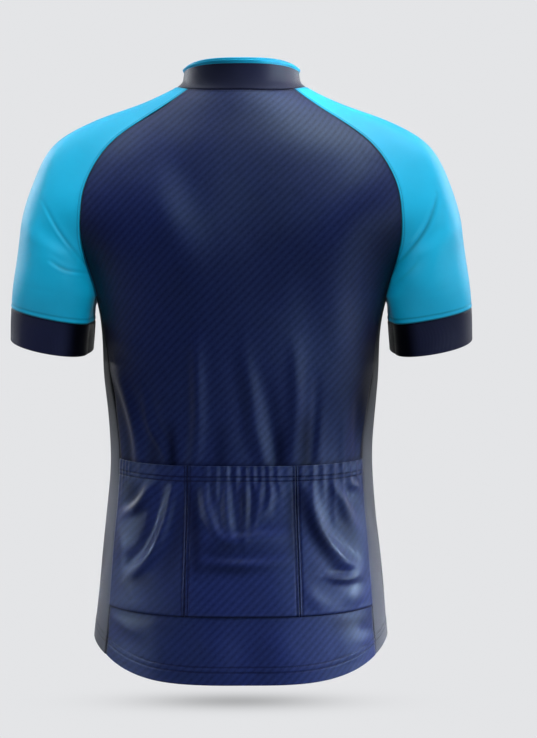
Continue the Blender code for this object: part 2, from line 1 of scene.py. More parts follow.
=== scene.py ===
"""The looks of a short-sleeved cycling jersey: its knits, seams, folds, stitching, zip and studio.

Every piece of cloth is a thin closed shell.  Its middle lies on the same smooth form as its solid:
a stack of rounded rings for the body, arched rows for the sleeves and a small stack of rings for
the collar.  Folds, gathers and seams are then raised or pressed into the shell.  The tables of the
form and its folds, and the measures of seams and stitched lines, are in millimetres.  Points and all
other lengths are in metres.  The back faces -Y.
"""
import functools
import math

import bpy
import bmesh
import numpy as np
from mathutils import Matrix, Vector


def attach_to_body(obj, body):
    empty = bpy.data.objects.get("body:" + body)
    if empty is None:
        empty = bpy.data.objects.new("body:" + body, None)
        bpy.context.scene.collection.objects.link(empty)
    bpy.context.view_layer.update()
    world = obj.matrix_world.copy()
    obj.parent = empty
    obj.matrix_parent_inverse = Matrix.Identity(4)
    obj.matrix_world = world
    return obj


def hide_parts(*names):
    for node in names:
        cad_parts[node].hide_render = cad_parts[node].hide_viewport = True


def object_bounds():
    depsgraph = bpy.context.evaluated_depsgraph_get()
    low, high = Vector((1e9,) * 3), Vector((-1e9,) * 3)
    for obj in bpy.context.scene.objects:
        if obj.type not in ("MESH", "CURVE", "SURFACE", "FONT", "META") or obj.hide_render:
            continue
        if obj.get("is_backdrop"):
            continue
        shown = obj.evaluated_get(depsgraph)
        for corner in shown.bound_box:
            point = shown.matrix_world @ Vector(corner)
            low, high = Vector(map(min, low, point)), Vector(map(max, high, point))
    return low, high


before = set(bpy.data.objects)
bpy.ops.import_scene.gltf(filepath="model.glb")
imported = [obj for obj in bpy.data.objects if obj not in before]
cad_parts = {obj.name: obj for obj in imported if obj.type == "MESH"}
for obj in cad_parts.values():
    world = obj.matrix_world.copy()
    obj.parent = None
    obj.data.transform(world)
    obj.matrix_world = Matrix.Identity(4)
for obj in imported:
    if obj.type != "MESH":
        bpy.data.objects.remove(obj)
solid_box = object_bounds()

MM = 0.001


# The form of the garment

def smooth(pairs):
    """A natural cubic curve through pairs of numbers."""
    x, y = np.array(sorted(pairs), float).T
    step = np.diff(x)
    slope = np.diff(y) / step
    last = len(x) - 1
    system = np.eye(len(x))
    change = np.zeros(len(x))
    for i in range(1, last):
        system[i, i - 1:i + 2] = step[i - 1], 2 * (step[i - 1] + step[i]), step[i]
        change[i] = 6 * (slope[i] - slope[i - 1])
    bend = np.linalg.solve(system, change)

    def curve(at):
        at = np.asarray(at, float)
        i = np.clip(np.searchsorted(x, at) - 1, 0, last - 1)
        gap, after, before = step[i], at - x[i], x[i + 1] - at
        value = (bend[i] * before**3 + bend[i + 1] * after**3) / (6 * gap)
        value = value + (y[i] / gap - bend[i] * gap / 6) * before
        return value + (y[i + 1] / gap - bend[i + 1] * gap / 6) * after

    return curve


def curves(names, table):
    """A smooth curve for each named column of a table, over its first column."""
    return {name: smooth([(row[0], row[i]) for row in table]) for i, name in enumerate(names.split(), 1)}


def values(lines, at):
    return [float(curve(at)) for curve in lines.values()]


NECK_LEVEL, ARMPIT_LEVEL, HEM_LEVEL = 0, -237, -678
POCKET_TOP, POCKET_DEPTH = -432, 170
# Over the level of the ring at the back.
RING = curves("side front half_width back_depth front_depth axis_y square", (
    (-678, -630, -618, 170.5, 121, 108, 2, 2.30),  # hem
    (-602, -587, -570, 167, 119, 108, 1, 2.30),  # foot of the pockets
    (-520, -506, -496, 159, 110, 107, 0, 2.30),
    (-432, -420, -412, 152.5, 98, 106, 0, 2.30),   # waist, and mouth of the pockets
    (-330, -326, -324, 160, 111, 113, 0, 2.30),
    (-237, -237, -246, 170.5, 122, 120, 2, 2.30),  # armpits
    (-223, -222, -234, 176, 123, 120, 2, 2.30),
    (-195, -190, -212, 194, 123.5, 120, 2, 2.30),
    (-152, -143, -180, 222, 120, 116, 2, 2.30),
    (-97, -82, -140, 212, 106, 106, 2, 2.20),
    (-62, -42, -114, 178, 92, 95, 2, 2.15),
    (-32, -14, -92, 128, 77, 84, 3, 2.10),
    (-12, 0, -74, 94, 66, 75, 4, 2.10),
    (0, 8, -62, 75, 58, 67, 5, 2.10),            # neck seam
))
RAGLAN_ANGLE = smooth((
    (-237, 77.5), (-223, 73.7), (-210, 70), (-195, 64.6), (-175, 57.8), (-152, 52.6),
    (-120, 51.2), (-62, 50.9), (-32, 50.6), (-12, 51.8), (0, 53.6),
))
SIDE_ANGLE = smooth((
    (-678, 61.6), (-602, 60.6), (-520, 61.4), (-432, 62.3), (-400, 63.1), (-330, 67.1),
    (-280, 71.6), (-237, 77.5),
))
# Over the share of the way from the neck (0) by the armpit (1) to the cuff.
SLEEVE_END, CUFF_END = 1.10, 1.24
OUTER_LINE = curves("x y z", (
    (0, 75, 5, 8), (0.05, 88, 4, 1), (0.154, 120.5, 3, -13.8), (0.325, 173, 1, -33),
    (0.40, 197, 0, -45), (0.485, 219, -1, -61.6), (0.55, 231, -1, -78.2), (0.628, 241, 0, -100),
    (0.768, 255, 1, -143), (0.90, 261.5, 3, -186), (1, 266.5, 5, -218.5),
    (SLEEVE_END, 270, 9, -249), (CUFF_END, 271.5, 15, -286),
))
SEAM_LEVEL = smooth((
    (0, 0), (0.048, -12), (0.154, -32), (0.325, -62), (0.485, -97), (0.628, -135),
    (0.768, -175), (0.90, -210), (1, -237),
))
INNER_LINE = curves("x z span round", (
    (1, 168.1, -237, 26.6, -2.4), (1.05, 173, -251, 25.5, 2),
    (SLEEVE_END, 176, -265, 24, 4.5), (CUFF_END, 179.5, -299, 22, 5.5),
))
ROW_ARCH = curves("turn pull_seam pull_outer dip", (
    (0, 0, 17, 18, 0), (0.154, 0, 24, 30, 0), (0.325, 0, 32, 42, 0),
    (0.485, 0.04, 36, 52, 0), (0.628, 0.16, 38, 58, 0.02), (0.768, 0.40, 42, 66, 0.06),
    (0.90, 0.80, 48, 74, 0.10), (1, 1, 52, 76, 0.12), (SLEEVE_END, 1, 44, 60, 0.16),
    (CUFF_END, 1, 42, 56, 0.26),
))
# Over the share of the way up the collar.
COLLAR_RING = curves("half_width back_depth front_depth axis_y back side front", (
    (0, 75, 58, 67, 5, 0, 8, -62),
    (0.18, 70.6, 56.4, 65, 5, 6.5, 11.8, -56),
    (0.45, 68.2, 55, 62.5, 5, 16.2, 17.6, -46.8),
    (0.75, 67.4, 54.2, 60, 5, 27, 23.8, -36.6),
    (1, 67, 53.6, 58, 5, 37, 29.6, -28),
))
NECK_WIDTH = 75.0
COLLAR_HEIGHT = 37
COLLAR_SQUARE = 2.1
BINDING_SHARE = 0.83
# Half of the gap between the two fronts, and how far each cloth runs into its seam.
PARTING = 3.4
OVERLAP = 0.7 * MM


def rounded(ring, angle, at):
    """A point on a ring, in metres: the angle runs from the middle of the back over +X."""
    angle, at = np.broadcast_arrays(np.asarray(angle, float), np.asarray(at, float))
    ring = {"back": at, "square": COLLAR_SQUARE} | {name: curve(at) for name, curve in ring.items()}
    sine, cosine = np.sin(angle), np.cos(angle)
    reach = (np.abs(sine)**ring["square"] + np.abs(cosine)**ring["square"])**(-1 / ring["square"])
    depth = np.where(cosine > 0, ring["back_depth"], ring["front_depth"])
    rise = np.where(cosine > 0, (ring["back"] - ring["side"]) * (1 - sine**4),
                    (ring["front"] - ring["side"]) * (1 - sine**2))
    x, y = ring["half_width"] * sine * reach, ring["axis_y"] - depth * cosine * reach
    return np.stack([x, y, ring["side"] + rise], axis=-1) * MM


body_form = functools.partial(rounded, RING)
collar_form = functools.partial(rounded, COLLAR_RING)


def seam_angles(levels):
    """The angle of the seam that ends the back, at each level, in radians."""
    return np.radians(np.where(levels >= ARMPIT_LEVEL, RAGLAN_ANGLE(levels), SIDE_ANGLE(levels)))


def as_angle(distance, levels):
    """The angle that a distance round the body takes up."""
    return distance / (RING["half_width"](levels) * MM)


def unit(vectors):
    return vectors / np.maximum(np.linalg.norm(vectors, axis=-1, keepdims=True), 1e-12)


# Folds

# How many widths away from its line a fold is still worked out.
FOLD_REACH = 3.2
# Each fold is a line on the cloth, as seen from behind also where it is on the front: its width, its
# height, how deep the trough beside it is as a share of its height, and its points, each by x and how
# far below the neck it is.  The trough is on the right of the line as it runs, or on the left with its
# share below 0.
BACK_FOLDS = (
    (30, 4, 0, -118, 92, -80, 150, -58, 215, -52, 270),
    (22, -2.6, 0, -93, 38, -81, 64, -72, 92, -59, 132, -50, 177),
    (34, 4.6, 0, 150, 86, 118, 140, 104, 205, 112, 290, 110, 340),
    (26, -2.6, 0, 26, 110, 24, 190, 18, 270),
    (20, -2.4, 0, 76, 210, 84, 290, 86, 340),
    (7, 5.2, 0.4, -142, 322, -133, 348, -126, 369, -119, 400, -116, 440),
    (5, 2.8, -0.5, -108, 352, -101, 391, -88, 414, -80, 440),
    (8, 5, 0.5, -50, 290, -49, 350, -49, 385, -55, 440),
    (9, 3.2, 0.4, 4, 300, 8, 330, 14, 368, 16, 391, 26, 420, 30, 440),
    (9, -3.4, 0, 26, 330, 35, 390, 38, 440),
    (8, 4.1, 0, 62, 296, 63, 340, 62, 390, 58, 440),
    (5, -2.6, 0, 87, 330, 84, 385, 77, 440),
    (5, 1.3, 0, 92, 370, 89, 440),
    (5, 1.8, 0, 119, 370, 116, 440),
    (6, -2.8, 0, 133, 350, 134, 440),
    (16, 2.4, 0.4, -160, 262, -140, 286, -112, 300),
    (14, 1, -0.4, 162, 262, 146, 284, 118, 298),
    (13, 1.8, 0.4, -158, 300, -136, 330, -112, 350),
    (13, 0.8, -0.4, 158, 296, 140, 326, 120, 346),
)
POCKET_FOLDS = (
    (6, 4.4, 0.5, -101, 446, -104, 458, -117, 479, -131, 488),
    (6.5, 5.4, 0.6, -75, 448, -79, 473, -90, 511, -104, 537, -124, 556),
    (16, -2.8, 0, -62, 452, -66, 520, -80, 580),
    (8, 2.2, 0, -137, 512, -130, 536),
    (9, 2, 0, -132, 556, -120, 584),
    (12, 2.2, 0, -142, 590, -104, 594),
    (6, 3.4, 0.4, -42, 446, -40, 474, -30, 500, -18, 516),
    (4.5, 2.4, 0.3, -28, 446, -26, 474),
    (6, 3.4, 0.5, -15, 446, -16, 480, -10, 516),
    (6, 3.4, 0.4, 4, 446, 5, 484, 4, 520),
    (5, 3.2, 0.4, 20, 446, 20, 478, 14, 502),
    (5, 3, 0.3, 36, 446, 33, 468, 24, 492),
    (4, 2.6, 0.3, 47, 446, 45, 464),
    (8, 2.8, 0.6, 54, 512, 20, 513, -12, 516, -40, 510),
    (6, 2.6, 0.8, 52, 540, 0, 543, -48, 540),
    (24, -2, 0, -120, 556, -60, 554, 0, 553, 52, 556),
    (8.5, 4.8, -0.3, 72, 444, 80, 476, 91, 510, 106, 530, 134, 554),
    (6, 3.8, -0.4, 101, 446, 115, 476, 129, 505),
    (5, 3.2, -0.3, 119, 446, 132, 460),
    (5, 3, 0.8, 132, 558, 116, 560, 98, 557),
    (12, 2.6, 0, 120, 574, 138, 586),
    (9, 1.8, 0.4, 66, 560, 80, 582, 96, 592),
)
HEM_FOLDS = (
    (7, 1.2, 0.6, 154, 630, 132, 630),
    (10, 2, 0.5, -104, 618, -122, 616, -146, 606),
    (22, 2.4, 0, -118, 612, -96, 640, -90, 672),
    (26, 2.6, 0, -30, 616, -24, 670),
    (22, -2, 0, 6, 616, 2, 672),
    (24, 2.4, 0, 44, 616, 50, 672),
    (14, 1.6, 0, 122, 612, 128, 656),
)
# The hollows between folds get painted shade: here the height is the share of the light that is taken out of
# the colour.
BACK_HOLLOW_SHADE = (
    (6, 0.45, 0, -127, 385, -130, 455),
    (8, 0.45, 0, -97, 390, -101, 455),
    (6, 0.70, 0, -79, 385, -77, 455),
    (8, 0.40, 0, -22, 385, -23, 455),
    (8, 0.60, 0, 46, 385, 44, 455),
    (9, 0.65, 0, 75, 370, 73, 455),
    (9, 0.60, 0, 148, 280, 143, 340, 141, 410),
    (8, 0.30, 0, -140, 606, -112, 610, -84, 614),
    (9, 0.50, 0, 100, 608, 128, 610, 154, 604),
)
POCKET_HOLLOW_SHADE = (
    (8, 0.50, 0, -126, 438, -124, 480),
    (9, 0.40, 0, -114, 458, -112, 490, -113, 522),
    (11, 0.40, 0, -67, 455, -70, 510, -86, 560),
    (8, 0.35, 0, -134, 563, -98, 560),
    (7, 0.55, 0, -53, 450, -51, 500, -50, 556),
    (5, 0.50, 0, 2, 446, 6, 478, 9, 514),
    (6, 0.50, 0, 59, 448, 58, 500, 60, 535),
    (12, 0.35, 0, -44, 526, -8, 534),
    (7, 0.35, 0, -58, 545, -20, 549, 28, 546),
    (9, 0.65, 0, 66, 446, 73, 484, 86, 512, 110, 552),
    (8, 0.40, 0, 111, 468, 117, 496, 128, 524),
    (7, 0.35, 0, 92, 558, 116, 563, 140, 560),
)
# The first folds of each sleeve are sharp creases, whose troughs are darkened with painted shade.
CREASES = 2
LEFT_SLEEVE_FOLDS = (
    (2.2, 0.7, -0.9, -230, 131, -217, 155, -203, 177, -178, 207),
    (2.2, 0.8, -0.9, -221, 201, -204, 211, -176, 214),
    (10, -3.6, 0, -246, 168, -235, 179, -222, 187, -206, 197, -188, 206),
    (9, 1.8, 0, -224, 146, -212, 163, -200, 176, -186, 191),
    (22, 0.7, 0, -214, 96, -232, 140, -240, 200),
    (12, 0.8, 0.3, -196, 214, -212, 236, -236, 250),
    (9, -1.2, 0, -178, 216, -186, 238),
)
RIGHT_SLEEVE_FOLDS = (
    (2.1, 1.2, -0.9, 222, 122, 216, 143, 203, 169, 176, 200),
    (3, 0.7, -0.6, 198, 196, 186, 210, 174, 219),
    (10, -3.6, 0, 246, 168, 235, 179, 222, 187, 206, 197, 188, 206),
    (9, 1.8, 0, 224, 146, 212, 163, 200, 176, 186, 191),
    (22, 0.6, 0, 212, 92, 230, 136, 240, 196),
    (12, 0.8, 0.3, 194, 214, 212, 234, 238, 246),
    (9, -1.2, 0, 178, 218, 188, 240),
)
# The fronts, and the front sides of the sleeves.
FRONT_FOLDS = (
    (30, 2.4, 0, -110, 150, -84, 220, -70, 320),
    (30, 2.6, 0, 112, 150, 88, 230, 76, 330),
    (14, 1.8, 0.4, -160, 262, -132, 288, -104, 298),
    (14, 1.9, -0.4, 160, 258, 136, 282, 106, 296),
    (12, 1.4, 0.4, -156, 300, -128, 332, -98, 348),
    (12, 1.3, -0.4, 156, 298, 132, 334, 108, 352),
    (16, -1.6, 0, -46, 330, -52, 420, -50, 500),
    (16, -1.8, 0, 50, 300, 44, 400, 52, 470),
    (14, 1.6, 0, -100, 380, -108, 460, -100, 560),
    (13, 1.5, 0, 94, 400, 104, 480, 98, 590),
    (18, 1.5, 0, -34, 470, -26, 600),
    (18, 1.4, 0, 30, 480, 36, 606),
    (9, 1.2, 0.5, -150, 430, -120, 446, -84, 444),
    (9, 1.3, -0.5, 150, 424, 118, 440, 80, 436),
    (10, 1, 0.5, -66, 190, -40, 200, -14, 196),
    (10, 1, 0.5, 16, 232, 44, 242, 72, 236),
)
SLEEVE_FRONT_FOLDS = (
    (8, 1.8, 0.5, -226, 122, -206, 168, -178, 204),
    (7, 1.2, -0.5, -222, 196, -198, 210, -176, 214),
    (20, 1.5, 0, -212, 100, -234, 150, -238, 210),
    (8, 1.9, -0.5, 224, 128, 204, 170, 180, 200),
    (7, 1.1, 0.5, 218, 204, 198, 212, 178, 214),
    (20, 1.4, 0, 210, 98, 232, 146, 240, 206),
)


def bent_line(numbers, count=13):
    """Points close together on a smooth line through the few that a fold is given."""
    points = np.reshape(np.array(numbers, float), (-1, 2)) * (1, -1)
    at = np.concatenate([[0], np.cumsum(np.linalg.norm(np.diff(points, axis=0), axis=1))])
    fine = np.linspace(0, at[-1], count)
    return np.stack([smooth(zip(at, column))(fine) for column in points.T], axis=-1)


def fold_lift(points, folds):
    """How far the folds raise each point, in metres."""
    lift = np.zeros(len(points))
    place = points[:, (0, 2)] / MM
    for width, height, trough, *line in folds:
        line = bent_line(line)
        reach = FOLD_REACH * width
        low, high = line.min(axis=0) - reach, line.max(axis=0) + reach
        near = np.flatnonzero(np.all((place > low) & (place < high), axis=1))
        start, run = line[:-1], np.diff(line, axis=0)
        from_start = place[near][:, None] - start
        along = np.clip((from_start * run).sum(-1) / (run * run).sum(-1), 0, 1)
        away = from_start - along[..., None] * run
        distance = np.linalg.norm(away, axis=-1)
        nearest = distance.argmin(axis=1)
        pick = np.arange(len(near)), nearest
        turn = run[nearest, 0] * away[pick][:, 1] - run[nearest, 1] * away[pick][:, 0]
        aside = -np.sign(turn) * distance[pick]
        share = (nearest + along[pick]) / len(run)
        taper = np.sin(np.pi * np.clip(0.06 + 0.88 * share, 0, 1))**0.8
        side = 1 if trough >= 0 else -1
        valley = np.exp(-((aside - side * 1.5 * width) / (1.1 * width))**2)
        lift[near] += height * taper * (np.exp(-(aside / width)**2) - abs(trough) * valley)
    return lift * MM


# Pieces of cloth

CLOTH = 1.2 * MM
# Steps between the points of the back, and across and down the other panels.
FINE, PLAIN, COARSE = 3.2 * MM, 3.4 * MM, 3.6 * MM
SLEEVE_STEP = 1.9 * MM
# How far it is round and down the pieces, for the spacing of their points.
BACK_ROUND, FRONT_ROUND, SIDE_ROUND = 0.38, 0.19, 0.12
SLEEVE_ROUND, CUFF_ROUND, COLLAR_ROUND = 0.30, 0.24, 0.40
CAP_LENGTH, TUBE_LENGTH, CUFF_LENGTH = 0.33, 0.033, 0.037
HEM_LINES = (14.5, 20.5)
EDGES = ("left", "right", "top", "bottom")
EDGE_STEPS = np.array((0, 0.12, 0.35, 0.7, 1.2, 1.9, 2.8, 4.0)) * MM


def shares(count):
    return np.linspace(0, 1, count + 1)


def spread(length, step):
    """Shares of a length, closer together at both ends, where the cloth rolls into its seams."""
    edge = EDGE_STEPS / length
    count = max(2, round((length - 2 * EDGE_STEPS[-1]) / step))
    middle = np.linspace(edge[-1], 1 - edge[-1], count + 1)
    return np.concatenate([edge[:-1], middle, 1 - edge[:-1][::-1]])


def running(points, axis):
    """The length run so far along each row or column of a block of points."""
    steps = np.linalg.norm(np.diff(points, axis=axis), axis=-1)
    start = np.zeros_like(np.take(steps, [0], axis=axis))
    return np.concatenate([start, np.cumsum(steps, axis=axis)], axis=axis)


class Block:
    """Rows of points down a piece of cloth and columns across it, seen from outside."""

    def __init__(self, points, edges=EDGES):
        self.points, self.edges = points, edges
        self.across, self.down = running(points, 1), running(points, 0)

    def mirrored(self):
        return Block(self.points[:, ::-1] * (-1, 1, 1), self.edges)

    def lengths(self):
        """Where each point is on the flat cloth, in metres."""
        middle = self.points.shape[1] // 2
        u = self.across - self.across[:, middle:middle + 1]
        v = np.broadcast_to(-self.down[:, middle:middle + 1], u.shape)
        return np.stack([u, v], axis=-1)

    def slant(self, edge, inner):
        """How square the rows meet the column at the left or right edge, as a sine."""
        along = unit(np.gradient(self.points[:, edge], axis=0))
        away = unit(self.points[:, inner] - self.points[:, edge])
        return np.linalg.norm(np.cross(along, away), axis=-1)[:, None]

    def from_edge(self, side):
        if side == "left":
            return self.across * self.slant(0, 9)
        if side == "right":
            return (self.across[:, -1:] - self.across) * self.slant(-1, -10)
        return self.down if side == "top" else self.down[-1:] - self.down

    def near(self, sides):
        distance = np.full(self.across.shape, 1.0)
        for side in sides:
            distance = np.minimum(distance, self.from_edge(side))
        return distance


class Cloth:
    """The points of one piece: its blocks, welded, with their outward directions."""

    def __init__(self, blocks, side=1):
        """Blocks of a right-hand piece, or of one in the middle; the left-hand one is mirrored."""
        self.blocks = blocks = blocks if side > 0 else [block.mirrored() for block in blocks]
        stacked = np.concatenate([block.points.reshape(-1, 3) for block in blocks])
        keys = np.round(stacked / 1e-7).astype(np.int64)
        _, self.first, weld = np.unique(keys, axis=0, return_index=True, return_inverse=True)
        self.weld = weld.reshape(-1)
        self.points = stacked[self.first]
        self.numbers, quads, start = [], [], 0
        for block in blocks:
            number = start + np.arange(block.across.size).reshape(block.across.shape)
            corners = number[:-1, :-1], number[1:, :-1], number[1:, 1:], number[:-1, 1:]
            quads.append(np.stack(corners, axis=-1).reshape(-1, 4))
            self.numbers.append(number)
            start += number.size
        loose = np.concatenate(quads)
        self.uv = np.concatenate([block.lengths().reshape(-1, 2) for block in blocks])[loose]
        self.quads = self.weld[loose]
        self.out = self.directions(self.points)
        self.lift = np.zeros(len(self.points))
        # The painted shade at each point, as the share of light taken out of its colour and gloss.
        self.shade = np.zeros(len(self.points))

    def directions(self, points):
        corner = points[self.quads]
        face = np.cross(corner[:, 2] - corner[:, 0], corner[:, 3] - corner[:, 1])
        out = np.zeros_like(points)
        for i in range(4):
            np.add.at(out, self.quads[:, i], face)
        return unit(out)

    def spread_over(self, grids):
        """One value for each welded point, from arrays that fit the blocks."""
        return np.concatenate([np.broadcast_to(grid, number.shape).reshape(-1)
                               for grid, number in zip(grids, self.numbers)])[self.first]

    def near(self, sides=EDGES):
        """How far each point is from the named edges of the piece."""
        return self.spread_over([block.near([side for side in block.edges if side in sides])
                                 for block in self.blocks])

    def facing_back(self):
        return np.clip(-self.out[:, 1] * 3 + 0.4, 0, 1)

    def raise_by(self, lift):
        self.lift = self.lift + lift

    def fold(self, folds, share=1):
        self.raise_by(fold_lift(self.points, folds) * share)

    # Paints shade into the hollows given, as fold lines whose height is the share of light taken out.
    def hollow(self, hollows, share=1):
        self.darken(fold_lift(self.points, hollows) / MM * share)

    def wave(self, seed, longest, height, share=1, count=26):
        """A gentle unevenness, as no cloth in wear lies quite smooth: height is in millimetres."""
        dice = np.random.default_rng(seed)
        lift = np.zeros(len(self.points))
        for _ in range(count):
            length = longest * dice.uniform(0.3, 1.0)
            along = self.points @ unit(dice.normal(size=3))
            lift += length / longest * np.sin(2 * np.pi * along / length + dice.uniform(0, 2 * np.pi))
        self.raise_by(lift * (height * MM) / math.sqrt(count) * share)

    def darken(self, share):
        """Paints shade into the colour: takes a share of the light out of it, where 0 leaves it and 1 is
        black.
        """
        self.shade = 1 - (1 - self.shade) * (1 - share)

    def press_line(self, side, distance, depth=0.35, width=0.9, dark=0.5):
        """A stitched line presses the cloth in, and the colour along it is darkened, partly for its dark
        thread and partly as painted shade in the groove.
        """
        hollow = np.exp(-((self.near([side]) - distance * MM) / (width * MM))**2)
        self.darken(dark * hollow)
        self.raise_by(-depth * MM * hollow)

    def seam(self, sides, depth=0.9, width=1.3, ridge=0.25, dark=0.6, reach=1.6):
        """Rolls the named edges in towards the seam, with a faint ridge beside it, and paints shade along
        the seam's groove.
        """
        near = self.near(sides)
        self.darken(dark * step_down(near, reach * MM, 0.25 * MM))
        self.raise_by(-depth * MM * np.exp(-near / (width * MM)))
        self.raise_by(ridge * MM * np.exp(-((near - 3.0 * MM) / (1.4 * MM))**2))

    def hem(self):
        """The turned-up hem: two layers, and the twin line of stitches that holds it."""
        self.raise_by(0.3 * MM * step_down(self.near(["bottom"]), (HEM_LINES[1] + 1.2) * MM, 0.35 * MM))
        for line in HEM_LINES:
            self.press_line("bottom", line, 0.38)

    def surface(self):
        return self.points + self.out * self.lift[:, None]

    def grid(self, index):
        """The finished outer face of one block."""
        return self.surface()[self.weld[self.numbers[index]]]


def shell(name, cloth, thickness, material):
    """A closed shell of cloth, rounded along its edges, under the given outer face."""
    half = thickness / 2
    bare = np.clip(1 - cloth.near() / half, 0, 0.97)
    swell = half * np.sqrt(1 - bare**2)
    surface = cloth.surface()
    out = cloth.directions(surface)
    middle = surface - out * half
    points = np.concatenate([middle + out * swell[:, None], middle - out * swell[:, None]])
    count = len(middle)
    starts, stops = cloth.quads.reshape(-1), np.roll(cloth.quads, -1, axis=1).reshape(-1)
    open_edge = ~np.isin(starts * count + stops, stops * count + starts)
    starts, stops = starts[open_edge], stops[open_edge]
    walls = np.stack([stops, starts, starts + count, stops + count], axis=-1)
    quads = np.concatenate([cloth.quads, cloth.quads[:, ::-1] + count, walls])
    flat = np.zeros((count, 2))
    flat[cloth.quads.reshape(-1)] = cloth.uv.reshape(-1, 2)
    uv = np.concatenate([cloth.uv, cloth.uv[:, ::-1], flat[walls % count]])
    mesh = bpy.data.meshes.new(name)
    mesh.from_pydata(points.tolist(), [], quads.tolist())
    mesh.uv_layers.new(name="cloth").data.foreach_set("uv", uv.astype(np.float32).reshape(-1))
    mesh.shade_smooth()
    mesh.materials.append(material)
    mesh.validate()
    # The painted shade goes to the finishes as a point attribute named shade.
    shade = mesh.attributes.new("shade", "FLOAT", "POINT")
    shade.data.foreach_set("value", np.tile(cloth.shade, 2).astype(np.float32))
    return placed(name, mesh)


def placed(name, data):
    thing = bpy.data.objects.new(name, data)
    bpy.context.scene.collection.objects.link(thing)
    return thing


def step_down(value, at, width):
    """1 before a place and 0 past it, with a soft step between."""
    return 0.5 - 0.5 * np.tanh((value - at) / (2 * width))


# How far above and below the armpits the arms keep the light off.
ARM_SHADE_ABOVE, ARM_SHADE_BELOW = 80, 145


def under_arm(cloth):
    """How much the arms keep the light off the sides beside and below them, up to 1."""
    below = ARMPIT_LEVEL - cloth.points[:, 2] / MM
    return step_down(-below, ARM_SHADE_ABOVE, 14) * step_down(below, ARM_SHADE_BELOW, 18)


def crowded(levels, places, step=0.7, reach=2.1):
    """Adds rows close together round the levels where a stitched line runs."""
    extra = [np.arange(place - reach, place + reach + 0.01, step) for place in places]
    kept = [level for level in levels if all(abs(level - place) > reach + 0.3 for place in places)]
    return np.sort(np.concatenate([kept, *extra]))[::-1]


def body_rows(top, step):
    """Levels from the top of a panel to the hem."""
    levels = top - (top - HEM_LEVEL) * spread((top - HEM_LEVEL) * MM, step)
    return crowded(levels, [HEM_LEVEL + line for line in HEM_LINES])[:, None]


SIDES = ("left", "right")
NECK_LINE = 3.2
ZIP_ROW = 4.5
POCKET_FOOT = -598


def make_back():
    levels = body_rows(NECK_LEVEL, FINE)
    edge = seam_angles(levels) + as_angle(OVERLAP, levels)
    cloth = Cloth([Block(body_form(edge * (2 * spread(BACK_ROUND, FINE) - 1), levels))])
    height = cloth.points[:, 2] / MM
    above = np.clip((height - POCKET_TOP) / 8 + 0.6, 0, 1)
    below = np.clip((POCKET_FOOT - height) / 10, 0, 1)
    cloth.fold(BACK_FOLDS, above)
    cloth.fold(HEM_FOLDS, below)
    cloth.wave(11, 0.16, 0.55, (above + below).clip(0, 1))
    cloth.seam(SIDES, 1.3, 1.5, dark=0.85, reach=2.9)
    cloth.seam(["top"])
    cloth.press_line("top", NECK_LINE, 0.25)
    # Painted shadow on the back just above the pockets' mouths.
    over = cloth.spread_over([levels]) - POCKET_TOP
    cloth.darken(0.75 * np.exp(-np.abs(over) / 2.2))
    # Painted shade of the arms, near the side seams.
    cloth.darken(0.8 * under_arm(cloth) * np.exp(-(cloth.near(SIDES) / (48 * MM))**2))
    # Painted shade in the hollows between the folds.
    cloth.hollow(BACK_HOLLOW_SHADE)
    cloth.hem()
    return cloth


def make_front(side):
    levels = body_rows(NECK_LEVEL, COARSE)
    seam = np.pi - seam_angles(levels) - as_angle(OVERLAP, levels)
    parting = np.pi - as_angle(PARTING * MM, levels)
    across = spread(FRONT_ROUND, PLAIN)
    cloth = Cloth([Block(body_form(seam + (parting - seam) * across, levels))], side)
    cloth.fold(FRONT_FOLDS)
    cloth.wave(12, 0.16, 0.55)
    outside, zip_side = SIDES[::side]
    cloth.seam([outside, "top"])
    cloth.seam([zip_side], 0.3, 1.0, 0.2)
    cloth.press_line(zip_side, ZIP_ROW, 0.3)
    cloth.hem()
    return cloth


def make_side(side):
    levels = body_rows(ARMPIT_LEVEL, COARSE)
    seam = seam_angles(levels) - as_angle(2.0 * MM, levels)
    across = spread(SIDE_ROUND, PLAIN)
    cloth = Cloth([Block(body_form(seam + (np.pi - 2 * seam) * across, levels))], side)
    cloth.wave(13, 0.12, 0.8)
    cloth.seam(SIDES, 2.6, 2.0, reach=2.8)
    cloth.seam(["top"])
    # Painted shade of the arms, on the sides under them.
    cloth.darken(0.8 * under_arm(cloth))
    cloth.hem()
    return cloth


# Sleeves and cuffs

CUFF_LINE = 6.5
RAGLAN_LINE = 3.0
# The sleeves part from their cuffs by this much each.
CUFF_GAP = 0.2 * MM


def arch(start, start_pull, end_pull, end, count=48):
    t = shares(count)[:, None]
    return ((1 - t)**3 * start + 3 * (1 - t)**2 * t * (start + start_pull)
            + 3 * (1 - t) * t**2 * (end + end_pull) + t**3 * end)


def tube_side(share, across):
    """Points on the side of the tube that faces the body, from back to front.

    The tube starts on the ring of the body under the arm and eases into its own line, which rises
    to the front ever more steeply down the sleeve.
    """
    def own_line(share):
        x, z, span, bulge = values(INNER_LINE, share)
        slope = float(ROW_ARCH["dip"](share)) * min(1, (share - 1) / (SLEEVE_END - 1))
        reach = span * (2 * across - 1)
        bow = 1 - (2 * across - 1)**2
        middle = float(OUTER_LINE["y"](share))
        return np.stack([x - bulge * bow, middle + reach, z + slope * reach], axis=-1) * MM

    angle = seam_angles(np.array(float(ARMPIT_LEVEL))) - as_angle(OVERLAP, ARMPIT_LEVEL)
    ring = body_form(angle + (np.pi - 2 * angle) * across, ARMPIT_LEVEL)
    ease = max(0, 1 - (share - 1) / (SLEEVE_END - 1))**2
    return own_line(share) + (ring - own_line(1)) * ease


